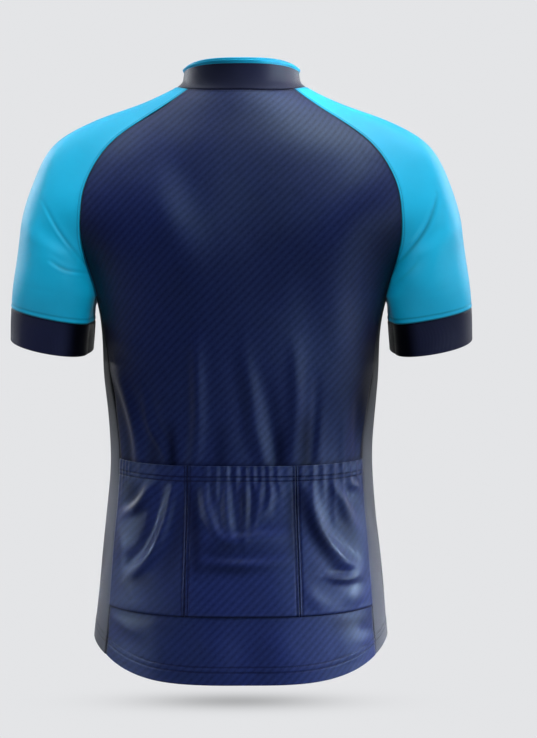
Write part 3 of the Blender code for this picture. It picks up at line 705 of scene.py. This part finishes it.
def sleeve_ends(share, toward_front):
    """Where a row leaves the seam, and the way the body runs there."""
    if share > 1:
        return tube_side(share, np.array(float(toward_front))), np.zeros(3)
    level = float(SEAM_LEVEL(share))
    angle, step = float(seam_angles(np.array(level)) - as_angle(OVERLAP, level)), 1e-3
    if toward_front:
        angle, step = np.pi - angle, -step
    point = body_form(angle, level)
    return point, unit(body_form(angle + step, level) - point)


def sleeve_row(share, at):
    """One row of a right sleeve, over the top from its back seam to its front seam."""
    outer = np.array(values(OUTER_LINE, share)) * MM
    turn, pull_seam, pull_outer, dip = values(ROW_ARCH, share)
    halves = []
    for sign in (-1, 1):
        seam, along = sleeve_ends(share, sign > 0)
        leave = unit(along * (1 - turn) + unit(np.array((0.12, sign, sign * dip))) * turn)
        side_pull = unit(np.array((0.0, sign, sign * dip)))
        halves.append(arch(seam, leave * pull_seam * MM, side_pull * pull_outer * MM, outer))
    back, front = halves
    line = np.concatenate([back, front[::-1][1:]])
    run = running(line[None], 1)[0]
    return np.stack([np.interp(at * run[-1], run, column) for column in line.T], axis=-1)


def tube_rows(row_shares, at):
    inner = shares(34)[1:-1][::-1]
    rows = []
    for share in row_shares:
        top = sleeve_row(share, at)
        rows.append(np.concatenate([top, tube_side(share, inner), top[:1]]))
    return np.array(rows)


def make_sleeve(side):
    at = spread(SLEEVE_ROUND, SLEEVE_STEP)
    cap_shares = np.concatenate([spread(CAP_LENGTH, SLEEVE_STEP)[:-7], [0.994, 1]])
    cap = np.array([sleeve_row(share, at) for share in cap_shares])
    tube_shares = np.concatenate([[0], spread(TUBE_LENGTH, SLEEVE_STEP)[5:]])
    tube = tube_rows(1 + (SLEEVE_END - 1) * tube_shares, at)
    tube[-1, :, 2] -= CUFF_GAP
    cloth = Cloth([Block(cap, ["left", "right", "top"]), Block(tube, ["bottom"])], side)
    folds, painted_back_shade = (LEFT_SLEEVE_FOLDS, 0.2) if side < 0 else (RIGHT_SLEEVE_FOLDS, 0.06)
    back = cloth.facing_back()
    cloth.fold(folds, back)
    # Painted shade in the troughs of the creases.
    creases = fold_lift(cloth.points, folds[:CREASES])
    cloth.darken(0.5 * back * np.clip(-creases / (1.1 * MM), 0, 1))
    # Painted shade over the backs of the sleeves, darker on the left one.
    cloth.darken(painted_back_shade * back)
    cloth.fold(SLEEVE_FRONT_FOLDS, 1 - back)
    cloth.wave(14 + side, 0.11, 0.3)
    cloth.seam(["left", "right", "top"], 0.8, 1.2, 0.45, dark=0.8, reach=0.9)
    for edge in SIDES:
        cloth.press_line(edge, RAGLAN_LINE, 0.3, 0.7, 0.3)
    cloth.seam(["bottom"], 0.5, 1.0, 0.35, dark=0.7)
    cloth.press_line("bottom", CUFF_LINE, 0.45, dark=0.35)
    return cloth


def make_cuff(side):
    row_shares = SLEEVE_END + (CUFF_END - SLEEVE_END) * spread(CUFF_LENGTH, 2.0 * MM)
    rows = tube_rows(row_shares, spread(CUFF_ROUND, 2.6 * MM))
    rows[0, :, 2] += CUFF_GAP
    cloth = Cloth([Block(rows, ["top", "bottom"])], side)
    cloth.wave(17 + side, 0.10, 0.25)
    cloth.seam(["top"], 0.7, 1.0, 0.1)
    # Painted shade on the side of the cuff that faces the body.
    cloth.darken(0.9 * np.clip(-side * cloth.out[:, 0] * 3 - 0.3, 0, 1))
    return cloth


# Collar

BINDING_LINE = 1.5


def collar_cloth(low, high, step, low_drop, high_drop=0):
    """A strip round the neck, between two shares of the collar's height."""
    angles = (2 * spread(COLLAR_ROUND, 2.4 * MM) - 1) * (np.pi - PARTING / NECK_WIDTH)
    heights = high - (high - low) * spread((high - low) * COLLAR_HEIGHT * MM, step)
    points = collar_form(angles, heights[:, None])
    points[0, :, 2] -= high_drop
    points[-1, :, 2] -= low_drop
    cloth = Cloth([Block(points)])
    cloth.wave(21, 0.09, 0.3)
    return cloth


def make_collar():
    cloth = collar_cloth(0, BINDING_SHARE, 1.8 * MM, low_drop=1.6 * MM, high_drop=-0.3 * MM)
    cloth.seam(["bottom"], 0.7, 1.1, 0.2)
    return cloth


def make_binding():
    cloth = collar_cloth(BINDING_SHARE, 1, 1.0 * MM, low_drop=0.2 * MM)
    cloth.raise_by(0.3 * MM)
    cloth.press_line("bottom", BINDING_LINE, 0.25, 0.6, 0.3)
    # Painted shade on the side of the binding that faces the back.
    cloth.darken(0.2 * cloth.facing_back())
    return cloth


# Pockets

# Levels of the pockets' foot and mouth, with the angles of the left and right dividers there.
DIVIDERS = ((-602, 21.5, 22.8), (-432, 22.55, 23.35))
DIVIDER_LINE = 3.1
DIVIDED = {"pocket_left": ("right",), "pocket_centre": SIDES, "pocket_right": ("left",)}
FOOT_LINE = 2.2
BAND = 12.5
BAND_LINES = (12.6, 17.4)
# The small upright folds that the elastic draws up: the share of the pocket's width at which each
# stands, its height, its width and how far below the band it fades out.
GATHERS = {
    "pocket_left": ((0.06, 1.5, 1.9, 16), (0.125, 1.6, 1.9, 20), (0.185, 1.4, 1.9, 12),
                    (0.25, 1.2, 2, 10), (0.42, 0.7, 3.4, 24), (0.63, 0.5, 4.5, 30), (0.84, 0.6, 4, 12)),
    "pocket_centre": ((0.07, 0.8, 3.2, 12), (0.18, 1.8, 3.4, 30), (0.27, 1.9, 3.2, 40),
                      (0.36, 2, 3.2, 22), (0.45, 1.8, 3.3, 46), (0.54, 1.8, 3, 24),
                      (0.61, 1.5, 2.6, 34), (0.68, 1.6, 2.6, 18), (0.75, 1.6, 2.8, 32),
                      (0.83, 1.4, 2.9, 22), (0.92, 1, 3, 14)),
    "pocket_right": ((0.08, 1.5, 3, 20), (0.20, 1.7, 3.2, 34), (0.32, 1.6, 3.2, 24),
                     (0.45, 1.6, 3.2, 40), (0.58, 1.6, 3, 26), (0.70, 1.5, 3, 34),
                     (0.82, 1.5, 2.8, 20), (0.93, 1.3, 2.4, 16)),
}
GATHER_LEAN = 0.012


def gathers(across, below, width, table):
    lift = np.zeros(across.shape)
    for at, height, reach, fade_at in table:
        fade = np.exp(-(np.clip(below - 9, 0, None) / fade_at)**1.6)
        aside = (across - at - GATHER_LEAN * (at - 0.5) * below / BAND) * width / (reach * MM)
        lift += height * fade * np.exp(-aside**2)
    return lift * MM


def make_pocket(name, below, start, stop, width, seed):
    """A pocket between two angles at each of its rows, which lie below its mouth."""
    across = spread(width, 1.5 * MM)
    points = body_form(start + (stop - start) * across, (POCKET_TOP - below)[:, None])
    cloth = Cloth([Block(points)])
    below, across = cloth.spread_over([below[:, None]]), cloth.spread_over([across])
    middle = np.sin(np.pi * across)**0.6
    height = np.sin(np.pi * np.clip(below / POCKET_DEPTH, 0, 1)**0.75)
    on_band = step_down(below, BAND + 1.2, 0.5)
    flare = 1.1 * MM * (1 - np.exp(-below / 9))
    cloth.raise_by((0.2 * MM + CLOTH) + 0.35 * MM * on_band + flare + 1.5 * MM * middle * height)
    cloth.raise_by(middle * gathers(across, below, width, GATHERS[name]))
    free = np.clip((below - BAND - 3) / 14, 0, 1)
    cloth.fold(POCKET_FOLDS, middle * free)
    # Painted shade in the hollows between the folds.
    cloth.hollow(POCKET_HOLLOW_SHADE, free)
    cloth.wave(seed, 0.07, 0.35, middle * free)
    for side in SIDES:
        if side in name:
            cloth.seam([side], 0.7, 1.2, 0.3)
    for side in DIVIDED[name]:
        cloth.seam([side], 0.2, 0.5, 0, dark=0.7, reach=0.9)
        cloth.press_line(side, DIVIDER_LINE, 0.55, 0.8, 0.6)
    cloth.seam(["bottom"], 0.9, 1.6, 0.3, dark=0.75)
    for line in BAND_LINES:
        cloth.press_line("top", line, 0.5, 0.8, 0.6)
    return name, cloth


def make_pockets():
    below = POCKET_DEPTH * spread(POCKET_DEPTH * MM, 1.9 * MM)
    below = -crowded(-below, [-line for line in BAND_LINES], 0.6, 1.8)
    levels = (POCKET_TOP - below)[:, None]
    seam = seam_angles(levels) - 2 * as_angle(OVERLAP, levels)
    known, *angles = np.array(DIVIDERS).T
    left, right = (np.radians(np.interp(levels, known, angle)) for angle in angles)
    gap = math.radians(0.03)
    return (
        make_pocket("pocket_left", below, -seam, -left - gap, 0.095, 31),
        make_pocket("pocket_centre", below, -left + gap, right - gap, 0.125, 32),
        make_pocket("pocket_right", below, right + gap, seam, 0.095, 33),
    )


# Zip

# How far the tapes and the teeth lie behind the fronts, and where across the zip a tape begins and
# how wide it is.
TAPE_DEPTH = -1.8 * MM
TEETH_DEPTH = -0.95 * MM
TAPE_START, TAPE_WIDTH = -11, 10.6


def zip_line(offset, out, count=420):
    """A line of points down the zip, from the collar's edge to the hem."""
    upper = collar_form(np.pi - offset / (NECK_WIDTH * MM), np.linspace(0.97, 0.06, count // 8))
    levels = np.linspace(NECK_LEVEL - 1, HEM_LEVEL + 0.5, count)
    line = np.concatenate([upper, body_form(np.pi - as_angle(offset, levels), levels)])
    down = unit(np.gradient(line, axis=0))
    outward = unit(np.cross(down, np.broadcast_to((1.0, 0, 0), down.shape)))
    return line + outward * out


def make_zip_tape():
    """Two woven tapes side by side, behind the edges of the fronts."""
    offsets = (TAPE_START + TAPE_WIDTH * spread(TAPE_WIDTH * MM, 1.3 * MM)) * MM
    return Cloth([Block(np.stack([zip_line(offset, TAPE_DEPTH) for offset in places], axis=1))
                  for places in (-offsets, offsets[::-1])])


# Stitches and zip teeth

STITCH_PITCH, STITCH_LENGTH, THREAD = 3.1 * MM, 2.7 * MM, 0.45 * MM
TOOTH_PITCH, TOOTH_WIDTH, TOOTH_HEIGHT, STAGGER = 0.95 * MM, 4.4 * MM, 1.5 * MM, 0.7 * MM


class Nodes:
    """A tree of nodes, built node by node."""

    def __init__(self, tree):
        self.tree = tree

    def feed(self, socket, value):
        if isinstance(value, bpy.types.NodeSocket):
            self.tree.links.new(value, socket)
        elif value is not None:
            socket.default_value = value

    def add(self, kind, *inputs, out=0, **named):
        """Adds a node: names with a capital are more of its inputs, and the others are settings."""
        whole = kind.startswith(("Geometry", "Function"))
        node = self.tree.nodes.new(kind if whole else "ShaderNode" + kind)
        inputs = dict(enumerate(inputs))
        for label, value in named.items():
            if label[0].isupper():
                inputs[label.replace("_", " ")] = value
            else:
                setattr(node, label, value)
        for label, value in inputs.items():
            self.feed(node.inputs[label], value)
        return node.outputs[out]

    def math(self, operation, *numbers):
        return self.add("Math", *numbers, operation=operation)


def row_tree(name, pitch, place):
    """A tree of nodes that places something at every step along lines."""
    nodes = Nodes(bpy.data.node_groups.new(name, "GeometryNodeTree"))
    for label, kind, way in (("Lines", "Geometry", "INPUT"), ("Seed", "Int", "INPUT"),
                             ("Finish", "Material", "INPUT"), ("Made", "Geometry", "OUTPUT")):
        nodes.tree.interface.new_socket(label, in_out=way, socket_type="NodeSocket" + kind)
    given = nodes.tree.nodes.new("NodeGroupInput").outputs
    line = nodes.add("GeometryNodeMeshToCurve", given["Lines"])
    steps = nodes.add("GeometryNodeResampleCurve", line, Length=pitch, mode="LENGTH")
    made = nodes.add("GeometryNodeRealizeInstances", place(nodes, steps, given["Seed"]))
    made = nodes.add("GeometryNodeSetShadeSmooth", made)
    made = nodes.add("GeometryNodeSetMaterial", made, Material=given["Finish"])
    nodes.feed(nodes.tree.nodes.new("NodeGroupOutput").inputs["Made"], made)
    return nodes.tree


def place_stitches(nodes, steps, seed):
    """A short plump length of thread at every step."""
    tangent = nodes.add("GeometryNodeInputTangent")
    turn = nodes.add("FunctionNodeAlignRotationToVector", Vector=tangent, axis="Z")
    uneven = nodes.add("FunctionNodeRandomValue", None, None, 0.88, 1.06, Seed=seed, out=1,
                       data_type="FLOAT")
    size = nodes.add("VectorMath", (THREAD / 2, THREAD / 2, STITCH_LENGTH / 2), Scale=uneven,
                     operation="SCALE")
    grain = nodes.add("GeometryNodeMeshIcoSphere", Radius=1.0, Subdivisions=1)
    return nodes.add("GeometryNodeInstanceOnPoints", steps, Instance=grain, Rotation=turn, Scale=size)


def place_teeth(nodes, steps, _):
    """The moulded coil of a closed zip: plump crossbars that reach from each side in turn."""
    points = nodes.add("GeometryNodeCurveToPoints", steps, mode="EVALUATED")
    odd = nodes.math("MODULO", nodes.add("GeometryNodeInputIndex"), 2.0)
    aside = nodes.math("MULTIPLY", nodes.math("MULTIPLY_ADD", odd, 2.0, -1.0), STAGGER)
    moved = nodes.add("GeometryNodeSetPosition", points, Offset=nodes.add("CombineXYZ", aside))
    bar = nodes.add("GeometryNodeMeshUVSphere", Segments=8, Rings=4, Radius=1.0)
    size = (TOOTH_WIDTH / 2, TOOTH_HEIGHT / 2, TOOTH_PITCH * 0.85)
    return nodes.add("GeometryNodeInstanceOnPoints", moved, Instance=bar, Scale=size)


def line_along(cloth, side, distance, index=0, skip=(0, 0)):
    """The line on a piece's finished outer face that keeps a distance from one of its edges."""
    grid, gap = cloth.grid(index), cloth.blocks[index].from_edge(side)
    if side in SIDES:
        grid, gap = grid.transpose(1, 0, 2), gap.T
    if side in ("right", "bottom"):
        grid, gap = grid[::-1], gap[::-1]
    line = np.array([[np.interp(distance * MM, gap[:, i], grid[:, i, axis]) for axis in range(3)]
                     for i in range(gap.shape[1])])
    return line[skip[0]:len(line) - skip[1]]


def grown(name, lines, tree, finish, seed=0):
    """Runs a tree of nodes over lines and keeps what it makes as a plain mesh."""
    starts = np.cumsum([0] + [len(line) for line in lines])
    edges = [(a, a + 1) for start, stop in zip(starts, starts[1:]) for a in range(start, stop - 1)]
    mesh = bpy.data.meshes.new(name + "_guide")
    mesh.from_pydata([tuple(point) for point in np.concatenate(lines)], edges, [])
    guide = placed(name + "_guide", mesh)
    modifier = guide.modifiers.new("rows", "NODES")
    modifier.node_group = tree
    inputs = tree.interface.items_tree
    modifier[inputs["Seed"].identifier], modifier[inputs["Finish"].identifier] = seed, finish
    graph = bpy.context.evaluated_depsgraph_get()
    made = bpy.data.meshes.new_from_object(guide.evaluated_get(graph))
    made.name = name
    bpy.data.objects.remove(guide)
    return placed(name, made)


def make_metal_part(node, finish, edge):
    """The slider or its pull, with the edges of its solid rounded off."""
    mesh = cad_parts[node].data.copy()
    mesh.name = node + "_rounded"
    build = bmesh.new()
    build.from_mesh(mesh)
    bmesh.ops.remove_doubles(build, verts=build.verts, dist=1e-6)
    bmesh.ops.dissolve_limit(build, angle_limit=math.radians(1), verts=build.verts, edges=build.edges)
    build.to_mesh(mesh)
    build.free()
    mesh.materials.clear()
    mesh.materials.append(finish)
    mesh.shade_smooth()
    piece = placed(node + "_rounded", mesh)
    bevel = piece.modifiers.new("edges", "BEVEL")
    bevel.width, bevel.segments, bevel.angle_limit = edge, 3, math.radians(25)
    bevel.harden_normals = True
    return piece


# Finishes

STRIPES_PER_METRE = 102
MESH_HOLE = 0.0021
NAVY = (0.0030, 0.0065, 0.0590)
CYAN = (0.0015, 0.470, 0.790)
CHARCOAL = (0.0040, 0.0056, 0.0300)
GREY = (0.039, 0.047, 0.069)
COOL_GLOSS = (0.53, 0.80, 1.0, 1.0)
SOFT_GLOSS = (0.75, 0.88, 1.0, 1.0)
COIL = (0.012, 0.014, 0.026)
METAL = (0.17, 0.18, 0.20)
NAVY_THREAD = (0.0022, 0.0042, 0.030)
CYAN_THREAD = (0.002, 0.22, 0.40)
# What each finish gives of the shader, in this order, after its colour.
SURFACE = ("Roughness", "Specular IOR Level", "Specular Tint", "Sheen Weight", "Sheen Roughness")


class Finish(Nodes):
    """A material, built round one principled shader."""

    def __init__(self, name, colour, *surface, metallic=0.0):
        self.material = bpy.data.materials.new(name)
        self.material.use_nodes = True
        super().__init__(self.material.node_tree)
        self.colour, self.shader = colour, self.tree.nodes["Principled BSDF"].inputs
        for label, value in zip(("Metallic", *SURFACE), (metallic, *surface)):
            self.feed(self.shader[label], value)

    def flat_cloth(self):
        """Where a point is on the flat cloth, across and along, in metres."""
        place = self.add("UVMap", uv_map="cloth")
        across = self.add("SeparateXYZ", place)
        return place, across, across.node.outputs["Y"]

    def noise(self, place, scale, detail=2.0):
        return self.add("TexNoise", Vector=place, Scale=scale, Detail=detail)

    def ranged(self, *numbers):
        """A value taken from one range to another."""
        return self.add("MapRange", *numbers)

    def mottled(self, place, scale, share, detail=2.0):
        """A factor that wanders round 1 by a share."""
        return self.ranged(self.noise(place, scale, detail), 0.3, 0.7, 1 - share, 1 + share)

    def waves(self, value, per_unit=1):
        return self.math("SINE", self.math("MULTIPLY", value, 2 * math.pi * per_unit))

    def tint(self, label, colour, factors):
        """Sets one of the shader's colours, made lighter and darker by some factors."""
        product = functools.reduce(lambda *pair: self.math("MULTIPLY", *pair), factors)
        self.feed(self.shader[label], self.add("VectorMath", colour, Scale=product, operation="SCALE"))

    def made(self, factors, height, strength, depth):
        """The material, with its colour varied by factors and its surface raised by a height."""
        self.tint("Base Color", self.colour, factors)
        normal = self.add("Bump", Height=height, Strength=strength, Distance=depth * MM)
        self.feed(self.shader["Normal"], normal)
        return self.material

    def with_painted_shade(self, factors, *surface, stripe=None):
        """A cloth that loses colour and gloss where the painted shade in its shade attribute takes the
        light.
        """
        shade = self.add("Attribute", out="Fac", attribute_name="shade")
        light = self.math("SUBTRACT", 1.0, shade)
        if stripe:
            light = self.math("MULTIPLY", light, stripe)
        self.tint("Specular Tint", self.shader["Specular Tint"].default_value[:3], [light])
        return self.made([*factors, light], *surface)


def knit(finish, stripe=0.0, wale=1.1 * MM, mottle=0.06):
    """A plain knit of small V-shaped loops, with fine diagonal stripes where stripe is over 0."""
    place, across, along = finish.flat_cloth()
    column = finish.math("PINGPONG", finish.math("DIVIDE", across, wale), 0.5)
    row = finish.math("ADD", finish.math("DIVIDE", along, wale * 0.8), column)
    rib = finish.math("MULTIPLY", finish.waves(column), 0.6)
    loops = finish.math("MULTIPLY_ADD", finish.waves(row), 0.4, rib)
    factors = [finish.mottled(place, 34, mottle), finish.mottled(place, 1400, 0.06, 1.0),
               finish.ranged(loops, -0.4, 1.0, 0.86, 1.06)]
    if stripe:
        wave = finish.waves(finish.math("SUBTRACT", across, along), STRIPES_PER_METRE)
        broken = finish.ranged(finish.noise(place, 260, 1.0), 0.35, 0.65, 0.3 * stripe, 1.7 * stripe)
        stripe = finish.math("MULTIPLY_ADD", wave, broken, 1.0)
    return finish.with_painted_shade(factors, loops, 0.2, 0.25, stripe=stripe)


def mesh_knit(finish):
    """A fine open mesh, with rows of small dark holes."""
    place = finish.flat_cloth()[0]
    turned = finish.add("Mapping", place, Rotation=(0, 0, math.radians(45)))
    grid = finish.add("TexVoronoi", turned, Scale=1 / MESH_HOLE, Randomness=0.0)
    factors = [finish.ranged(grid, 0.16, 0.34, 0.42, 1.05), finish.mottled(place, 40, 0.07),
               finish.mottled(place, 1400, 0.07, 1.0)]
    return finish.with_painted_shade(factors, grid, 0.5, 0.4)


def elastic_knit(finish):
    """A firm knit with fine upright ribs."""
    place, across, along = finish.flat_cloth()
    rib = finish.waves(across, 1 / (1.7 * MM))
    height = finish.math("MULTIPLY_ADD", finish.waves(along, 1 / (0.9 * MM)), 0.25, rib)
    factors = [finish.mottled(place, 30, 0.1), finish.mottled(place, 1500, 0.1, 1.0),
               finish.ranged(rib, -1, 1, 0.82, 1.1)]
    return finish.with_painted_shade(factors, height, 0.4, 0.25)


def woven_tape(finish):
    """The zip's tape: a herringbone of two fine diagonals."""
    place, across, along = finish.flat_cloth()
    slope = finish.math("ADD", finish.math("PINGPONG", across, 2.2 * MM), along)
    twill = finish.waves(slope, 1 / (0.9 * MM))
    factors = [finish.mottled(place, 1500, 0.12, 1.0), finish.ranged(twill, -1, 1, 0.8, 1.15)]
    return finish.made(factors, twill, 0.45, 0.2)


def plain(finish, grain_scale, grain, bump):
    """Thread, moulded plastic or metal, with a fine grain in its colour and surface."""
    speckle = finish.noise(finish.add("TexCoord", out="Object"), grain_scale, 3.0)
    return finish.made([finish.ranged(speckle, 0.3, 0.7, 1 - grain, 1 + grain)], speckle, bump, 0.1)


def make_finishes():
    return {
        "navy": knit(Finish("navy knit", NAVY, 0.45, 0.3, COOL_GLOSS, 0.05, 0.35), stripe=0.15),
        "cyan": knit(Finish("cyan knit", CYAN, 0.5, 0.3, None, 0.1, 0.3), wale=1.0 * MM, mottle=0.02),
        "charcoal": elastic_knit(Finish("charcoal elastic", CHARCOAL, 0.5, 0.2, SOFT_GLOSS, 0.15, 0.35)),
        "collar": knit(Finish("charcoal knit", CHARCOAL, 0.45, 0.25, SOFT_GLOSS, 0.5, 0.35), wale=1.0 * MM),
        "grey": mesh_knit(Finish("grey mesh", GREY, 0.62, 0.25, None, 0.1, 0.5)),
        "tape": woven_tape(Finish("zip tape weave", CHARCOAL, 0.7, 0.25)),
        "teeth": plain(Finish("moulded zip coil", COIL, 0.35), 900, 0.1, 0.1),
        "metal": plain(Finish("dark satin metal", METAL, 0.34, metallic=1.0), 700, 0.12, 0.15),
        "navy_thread": plain(Finish("navy thread", NAVY_THREAD, 0.7, 0.15), 2600, 0.25, 0.6),
        "cyan_thread": plain(Finish("cyan thread", CYAN_THREAD, 0.6, 0.2), 2600, 0.15, 0.6),
    }


# Studio

LENS = 125.08
CAMERA_PLACE = (0.0316, -3.0, -0.322)
PAPER = (0.775, 0.782, 0.799, 1.0)
SURROUND, SURROUND_POWER = (0.94, 0.97, 1.0, 1.0), 0.13
UNSEEN_FLOOR = (0.30, 0.31, 0.32, 1.0)
FLOOR_LEVEL = -0.704
FLOOR_HALF = 9.0
# The floor's painted shadow under the jersey: how dark it is at its middle, where that middle is, and how
# far it reaches.
PAINTED_SHADOW_DEPTH = 0.44
PAINTED_SHADOW_CENTRE = (-0.005, -0.050, 0)
PAINTED_SHADOW_REACH = (0.110, 0.072, 1000)
CHEST = (0, 0, -0.32)
# High lights that graze the back, rims behind, and narrow ones for pockets and sleeves: each has its
# name, place, aim, size, power and spread, which is half a turn if left out.
LIGHTS = (
    ("key", (1.3, -0.6, 2.4), CHEST, 0.8, 39),
    ("top", (0.8, -0.3, 2.5), (0, -0.1, -0.4), 0.8, 32),
    ("left_high", (-1.6, -0.3, 2.3), CHEST, 0.8, 27),
    ("top_back", (0, 0.9, 2.2), CHEST, (2.0, 0.6), 22),
    ("right_side", (2.5, -0.1, 0.5), CHEST, (0.6, 1.0), 6.8),
    ("left_side", (-2.5, -0.1, 0.5), CHEST, (0.6, 1.0), 5.6),
    ("right_rim", (1.6, 1.3, 0.6), CHEST, (0.6, 1.4), 22),
    ("left_rim", (-1.6, 1.3, 0.6), CHEST, (0.6, 1.4), 26),
    ("right_pocket", (1.9, -0.5, -0.1), (0.13, -0.1, -0.66), 0.3, 0.68, 10),
    ("left_pocket", (-1.9, -0.5, -0.1), (-0.16, -0.1, -0.60), 0.3, 0.23, 8),
    ("right_waist", (2.0, -0.7, -0.2), (0.10, -0.11, -0.38), 0.3, 0.22, 20),
    ("middle", (1.3, -1.8, -0.2), (-0.02, -0.11, -0.43), 0.3, 0.12, 9),
    ("collar", (1.5, -0.45, 0.2), (0.06, -0.02, 0.02), 0.1, 0.05, 2.5),
    ("right_sleeve", (-0.4, -2.2, 1.1), (0.28, 0, -0.22), 0.3, 0.13, 8),
    ("left_sleeve", (0.4, -2.2, 1.1), (-0.27, 0, -0.21), 0.3, 0.22, 8),
)


def make_light(name, place, aim, size, power, spread_angle=180):
    light = bpy.data.lights.new(name, "AREA")
    light.shape = "RECTANGLE"
    light.size, light.size_y = np.broadcast_to(size, 2)
    light.energy = power
    light.spread = math.radians(spread_angle)
    lamp = placed(name, light)
    lamp.location = place
    lamp.rotation_euler = (Vector(aim) - Vector(place)).to_track_quat("-Z", "Y").to_euler()
    lamp.visible_camera = False


def shown(nodes, ending, unseen, seen):
    """Shows one shader to the camera and lets another light and shade everything else."""
    camera_ray = nodes.add("LightPath", out="Is Camera Ray")
    end = nodes.tree.nodes.new(ending).inputs["Surface"]
    nodes.feed(end, nodes.add("MixShader", camera_ray, unseen, seen))


def emptied(holder):
    holder.use_nodes = True
    holder.node_tree.nodes.clear()
    return Nodes(holder.node_tree)


def make_world():
    """Pale paper behind the jersey, and a dimmer, softer surround that lights it."""
    world = bpy.data.worlds.new("studio")
    bpy.context.scene.world = world
    nodes = emptied(world)
    surround = nodes.add("Background", SURROUND, SURROUND_POWER)
    shown(nodes, "ShaderNodeOutputWorld", surround, nodes.add("Background", PAPER))


def paper_floor():
    """Evenly lit paper, with a painted soft shadow under the jersey that hangs just over it."""
    material = bpy.data.materials.new("paper floor")
    nodes = emptied(material)
    place = nodes.add("TexCoord", out="Object")
    near = nodes.add("Mapping", place, PAINTED_SHADOW_CENTRE, Scale=PAINTED_SHADOW_REACH, vector_type="TEXTURE")
    squared = nodes.add("VectorMath", near, near, out="Value", operation="DOT_PRODUCT")
    fall = nodes.math("POWER", 1 / math.e, squared)
    # The glow of the paper is darkened by the painted shadow.
    lit = nodes.add("Emission", PAPER, nodes.add("MapRange", fall, To_Min=1, To_Max=1 - PAINTED_SHADOW_DEPTH))
    shown(nodes, "ShaderNodeOutputMaterial", nodes.add("BsdfDiffuse", UNSEEN_FLOOR), lit)
    return material


def make_floor():
    mesh = bpy.data.meshes.new("floor")
    places = [(x * FLOOR_HALF, y * FLOOR_HALF, FLOOR_LEVEL) for x, y in ((-1, -1), (1, -1), (1, 1), (-1, 1))]
    mesh.from_pydata(places, [], [(0, 1, 2, 3)])
    mesh.materials.append(paper_floor())
    placed("floor", mesh)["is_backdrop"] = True


def make_camera():
    camera = bpy.data.cameras.new("camera")
    camera.lens = LENS
    camera.clip_end = 100
    holder = placed("camera", camera)
    holder.location = CAMERA_PLACE
    holder.rotation_euler = (math.radians(90), 0, 0)
    bpy.context.scene.camera = holder
    bpy.context.scene.view_settings.view_transform = "Standard"


# The jersey


def sew(node, cloth, finish, thickness=CLOTH):
    """Makes the shell of a piece of cloth, attaches it to the root and hides the solid it stands for."""
    piece = shell(node + "_cloth", cloth, thickness, finish)
    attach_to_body(piece, "root")
    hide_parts(node)
    return cloth


def attach(piece, body="root"):
    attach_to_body(piece, body)
    return piece


def make_jersey(finishes):
    navy, cyan, charcoal = finishes["navy"], finishes["cyan"], finishes["charcoal"]
    rows = {name: [] for name in ("hem", "neck", "pocket", "raglan", "cuff", "zip", "binding")}

    def hem_rows(cloth):
        rows["hem"] += [line_along(cloth, "bottom", line) for line in HEM_LINES]

    back = sew("back_panel", make_back(), navy)
    rows["neck"].append(line_along(back, "top", NECK_LINE, skip=(8, 8)))
    hem_rows(back)
    for side, end in ((-1, "_left"), (1, "_right")):
        front = sew("front" + end, make_front(side), navy)
        flank = sew("side_panel" + end, make_side(side), finishes["grey"])
        sleeve = sew("sleeve" + end, make_sleeve(side), cyan)
        sew("cuff" + end, make_cuff(side), charcoal)
        hem_rows(front)
        hem_rows(flank)
        rows["neck"].append(line_along(front, "top", NECK_LINE, skip=(8, 8)))
        rows["zip"].append(line_along(front, SIDES[::side][1], ZIP_ROW, skip=(4, 4)))
        rows["raglan"] += [line_along(sleeve, edge, RAGLAN_LINE, skip=(8, 3)) for edge in SIDES]
        rows["cuff"].append(line_along(sleeve, "bottom", CUFF_LINE, index=1))
    sew("collar", make_collar(), finishes["collar"], 1.6 * MM)
    binding = sew("collar_binding", make_binding(), cyan, 2.2 * MM)
    rows["binding"].append(line_along(binding, "bottom", BINDING_LINE, skip=(2, 2)))
    for name, pocket in make_pockets():
        sew(name, pocket, navy)
        rows["pocket"] += [line_along(pocket, "top", line) for line in BAND_LINES]
        rows["pocket"].append(line_along(pocket, "bottom", FOOT_LINE))
        rows["pocket"] += [line_along(pocket, side, DIVIDER_LINE, skip=(2, 8)) for side in DIVIDED[name]]
    sew("zip_tape", make_zip_tape(), finishes["tape"], 0.9 * MM)
    stitches = row_tree("stitch rows", STITCH_PITCH, place_stitches)
    for seed, (name, lines) in enumerate(rows.items(), 1):
        colour = "cyan" if name in ("raglan", "cuff", "binding") else "navy"
        row = grown(name + "_stitches", lines, stitches, finishes[colour + "_thread"], seed)
        attach(row)
    teeth = row_tree("zip coil", TOOTH_PITCH, place_teeth)
    attach(grown("zip_teeth", [zip_line(0.0, TEETH_DEPTH)], teeth, finishes["teeth"]))
    slider = attach(make_metal_part("zip_slider", finishes["metal"], 0.35 * MM))
    pull = attach(make_metal_part("zip_pull", finishes["metal"], 0.3 * MM), "pull")
    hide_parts("zip_slider")
    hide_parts("zip_pull")


def corners(box):
    return [list(corner) for corner in box]


def main():
    make_camera()
    make_jersey(make_finishes())
    make_floor()
    for light in LIGHTS:
        make_light(*light)
    make_world()
    bpy.context.view_layer.update()
    {"solid": corners(solid_box), "visual": corners(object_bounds())}


main()
